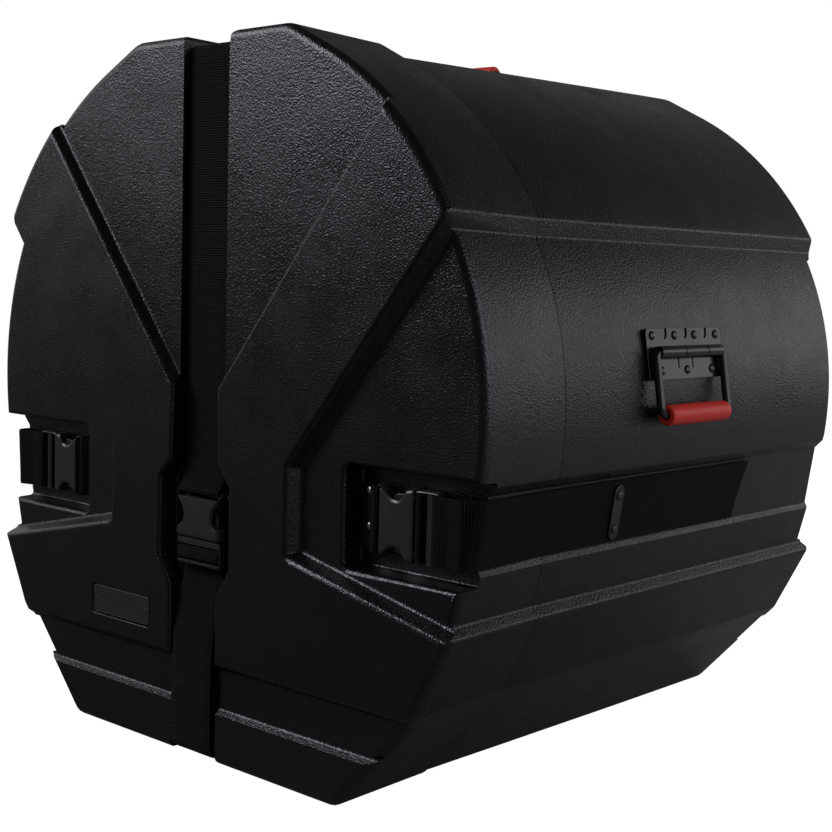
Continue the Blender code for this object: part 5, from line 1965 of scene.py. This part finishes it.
@dataclass
class DrumCase:
    """The whole case, sub-assembly by sub-assembly."""

    form: CaseForm
    finishes: Finishes

    def buckles(self) -> list[Buckle]:
        """The buckles of both pockets and of the centre bay.

        Returns:
            The three buckles.
        """
        made = []
        for side in Side:
            origin = (side.value * MOUTH_X, POCKET_FLOOR_Y - SEAT, STRAP_Z)
            place = Place(origin, ACROSS * side.value, FRONT)
            made.append(Buckle(side.word, place, self.finishes.acetal))
        place = Place((0.0, GROOVE_FLOOR_Y - SEAT, MOUTH_Z), -UP, FRONT)
        made.append(Buckle("centre", place, self.finishes.acetal))
        return made

    def plates(self, straps: StrapRun) -> list[StrapPlate]:
        """The plates over the four strap ends.

        Args:
            straps: The straps that they lie on.

        Returns:
            The four plates.
        """
        steel, y, made = self.finishes.dull_steel, FRONT_Y + 0.196, []
        for side in Side:
            across, outward = straps.channel_ways(side)
            origin = straps.channel(side, y) + outward * 0.0025
            made.append(StrapPlate(side.word, Place(origin, across.cross(outward), outward), steel))
        slope = self.form.top_slope
        top = Place((0.0, y, self.form.top_height(y) + 0.0027), (0.0, 1.0, slope), (0.0, -slope, 1.0))
        under = Place((0.0, y, UNDER_GROOVE_Z - 0.0027), -FRONT, -UP)
        return made + [StrapPlate("top", top, steel), StrapPlate("bottom", under, steel)]

    def handles(self) -> list[Handle]:
        """The three handles.

        Returns:
            The handles on the right, on the left and on top.
        """
        steel, rubber = self.finishes.coated, self.finishes.rubber
        lean = math.asin((0.3443 - self.form.panel_centre[1]) / self.form.panel_radius)
        seat, made = self.form.panel_radius + 0.0002, []
        for side in Side:
            outward = (side.value * math.cos(lean), 0.0, math.sin(lean))
            reach = side.value * seat * math.cos(lean) * 1.0045
            origin = (reach, FRONT_Y + 0.2715, self.form.panel_centre[1] + seat * math.sin(lean))
            made.append(Handle(side.word, Place(origin, (0.0, side.value, 0.0), outward), 0.0, steel, rubber))
        y = FRONT_Y + 0.268
        top = Place((0.0, y, self.form.top_height(y)), -ACROSS, (0.0, -self.form.top_slope, 1.0))
        return made + [Handle("top", top, math.radians(4.0), steel, rubber)]

    def springs(self) -> None:
        """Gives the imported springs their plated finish."""
        for word in ("right", "left", "top"):
            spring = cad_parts[f"handle_{word}_spring"]
            spring.data.materials.clear()
            spring.data.materials.append(self.finishes.bright_steel)

    def build(self) -> None:
        """Builds everything and reports each sub-assembly."""
        lid = Lid(self.form, self.finishes.plastic)
        for shell in (lid, Tub(self.form, self.finishes.plastic)):
            LOG.info("%s: %d faces", type(shell).__name__, len(shell.build().data.polygons))
        webbing = Webbing(self.finishes.webbing)
        straps = StrapRun(self.form, webbing, self.finishes.bright_steel)
        parts = [straps, *self.buckles(), *self.plates(straps), *self.handles(), Badge(self.finishes.acetal)]
        for part in (*parts, Padding(self.form, lid.cavity(), self.finishes.foam)):
            part.build()
            LOG.info("%s %s", type(part).__name__, getattr(part, "word", ""))
        self.springs()


def main() -> None:
    """Builds the case and the studio."""
    logging.basicConfig(level=logging.INFO, format="%(message)s")
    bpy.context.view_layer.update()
    Studio().build()
    DrumCase(CaseForm(), Finishes.mixed()).build()


if __name__ == "__main__":
    main()
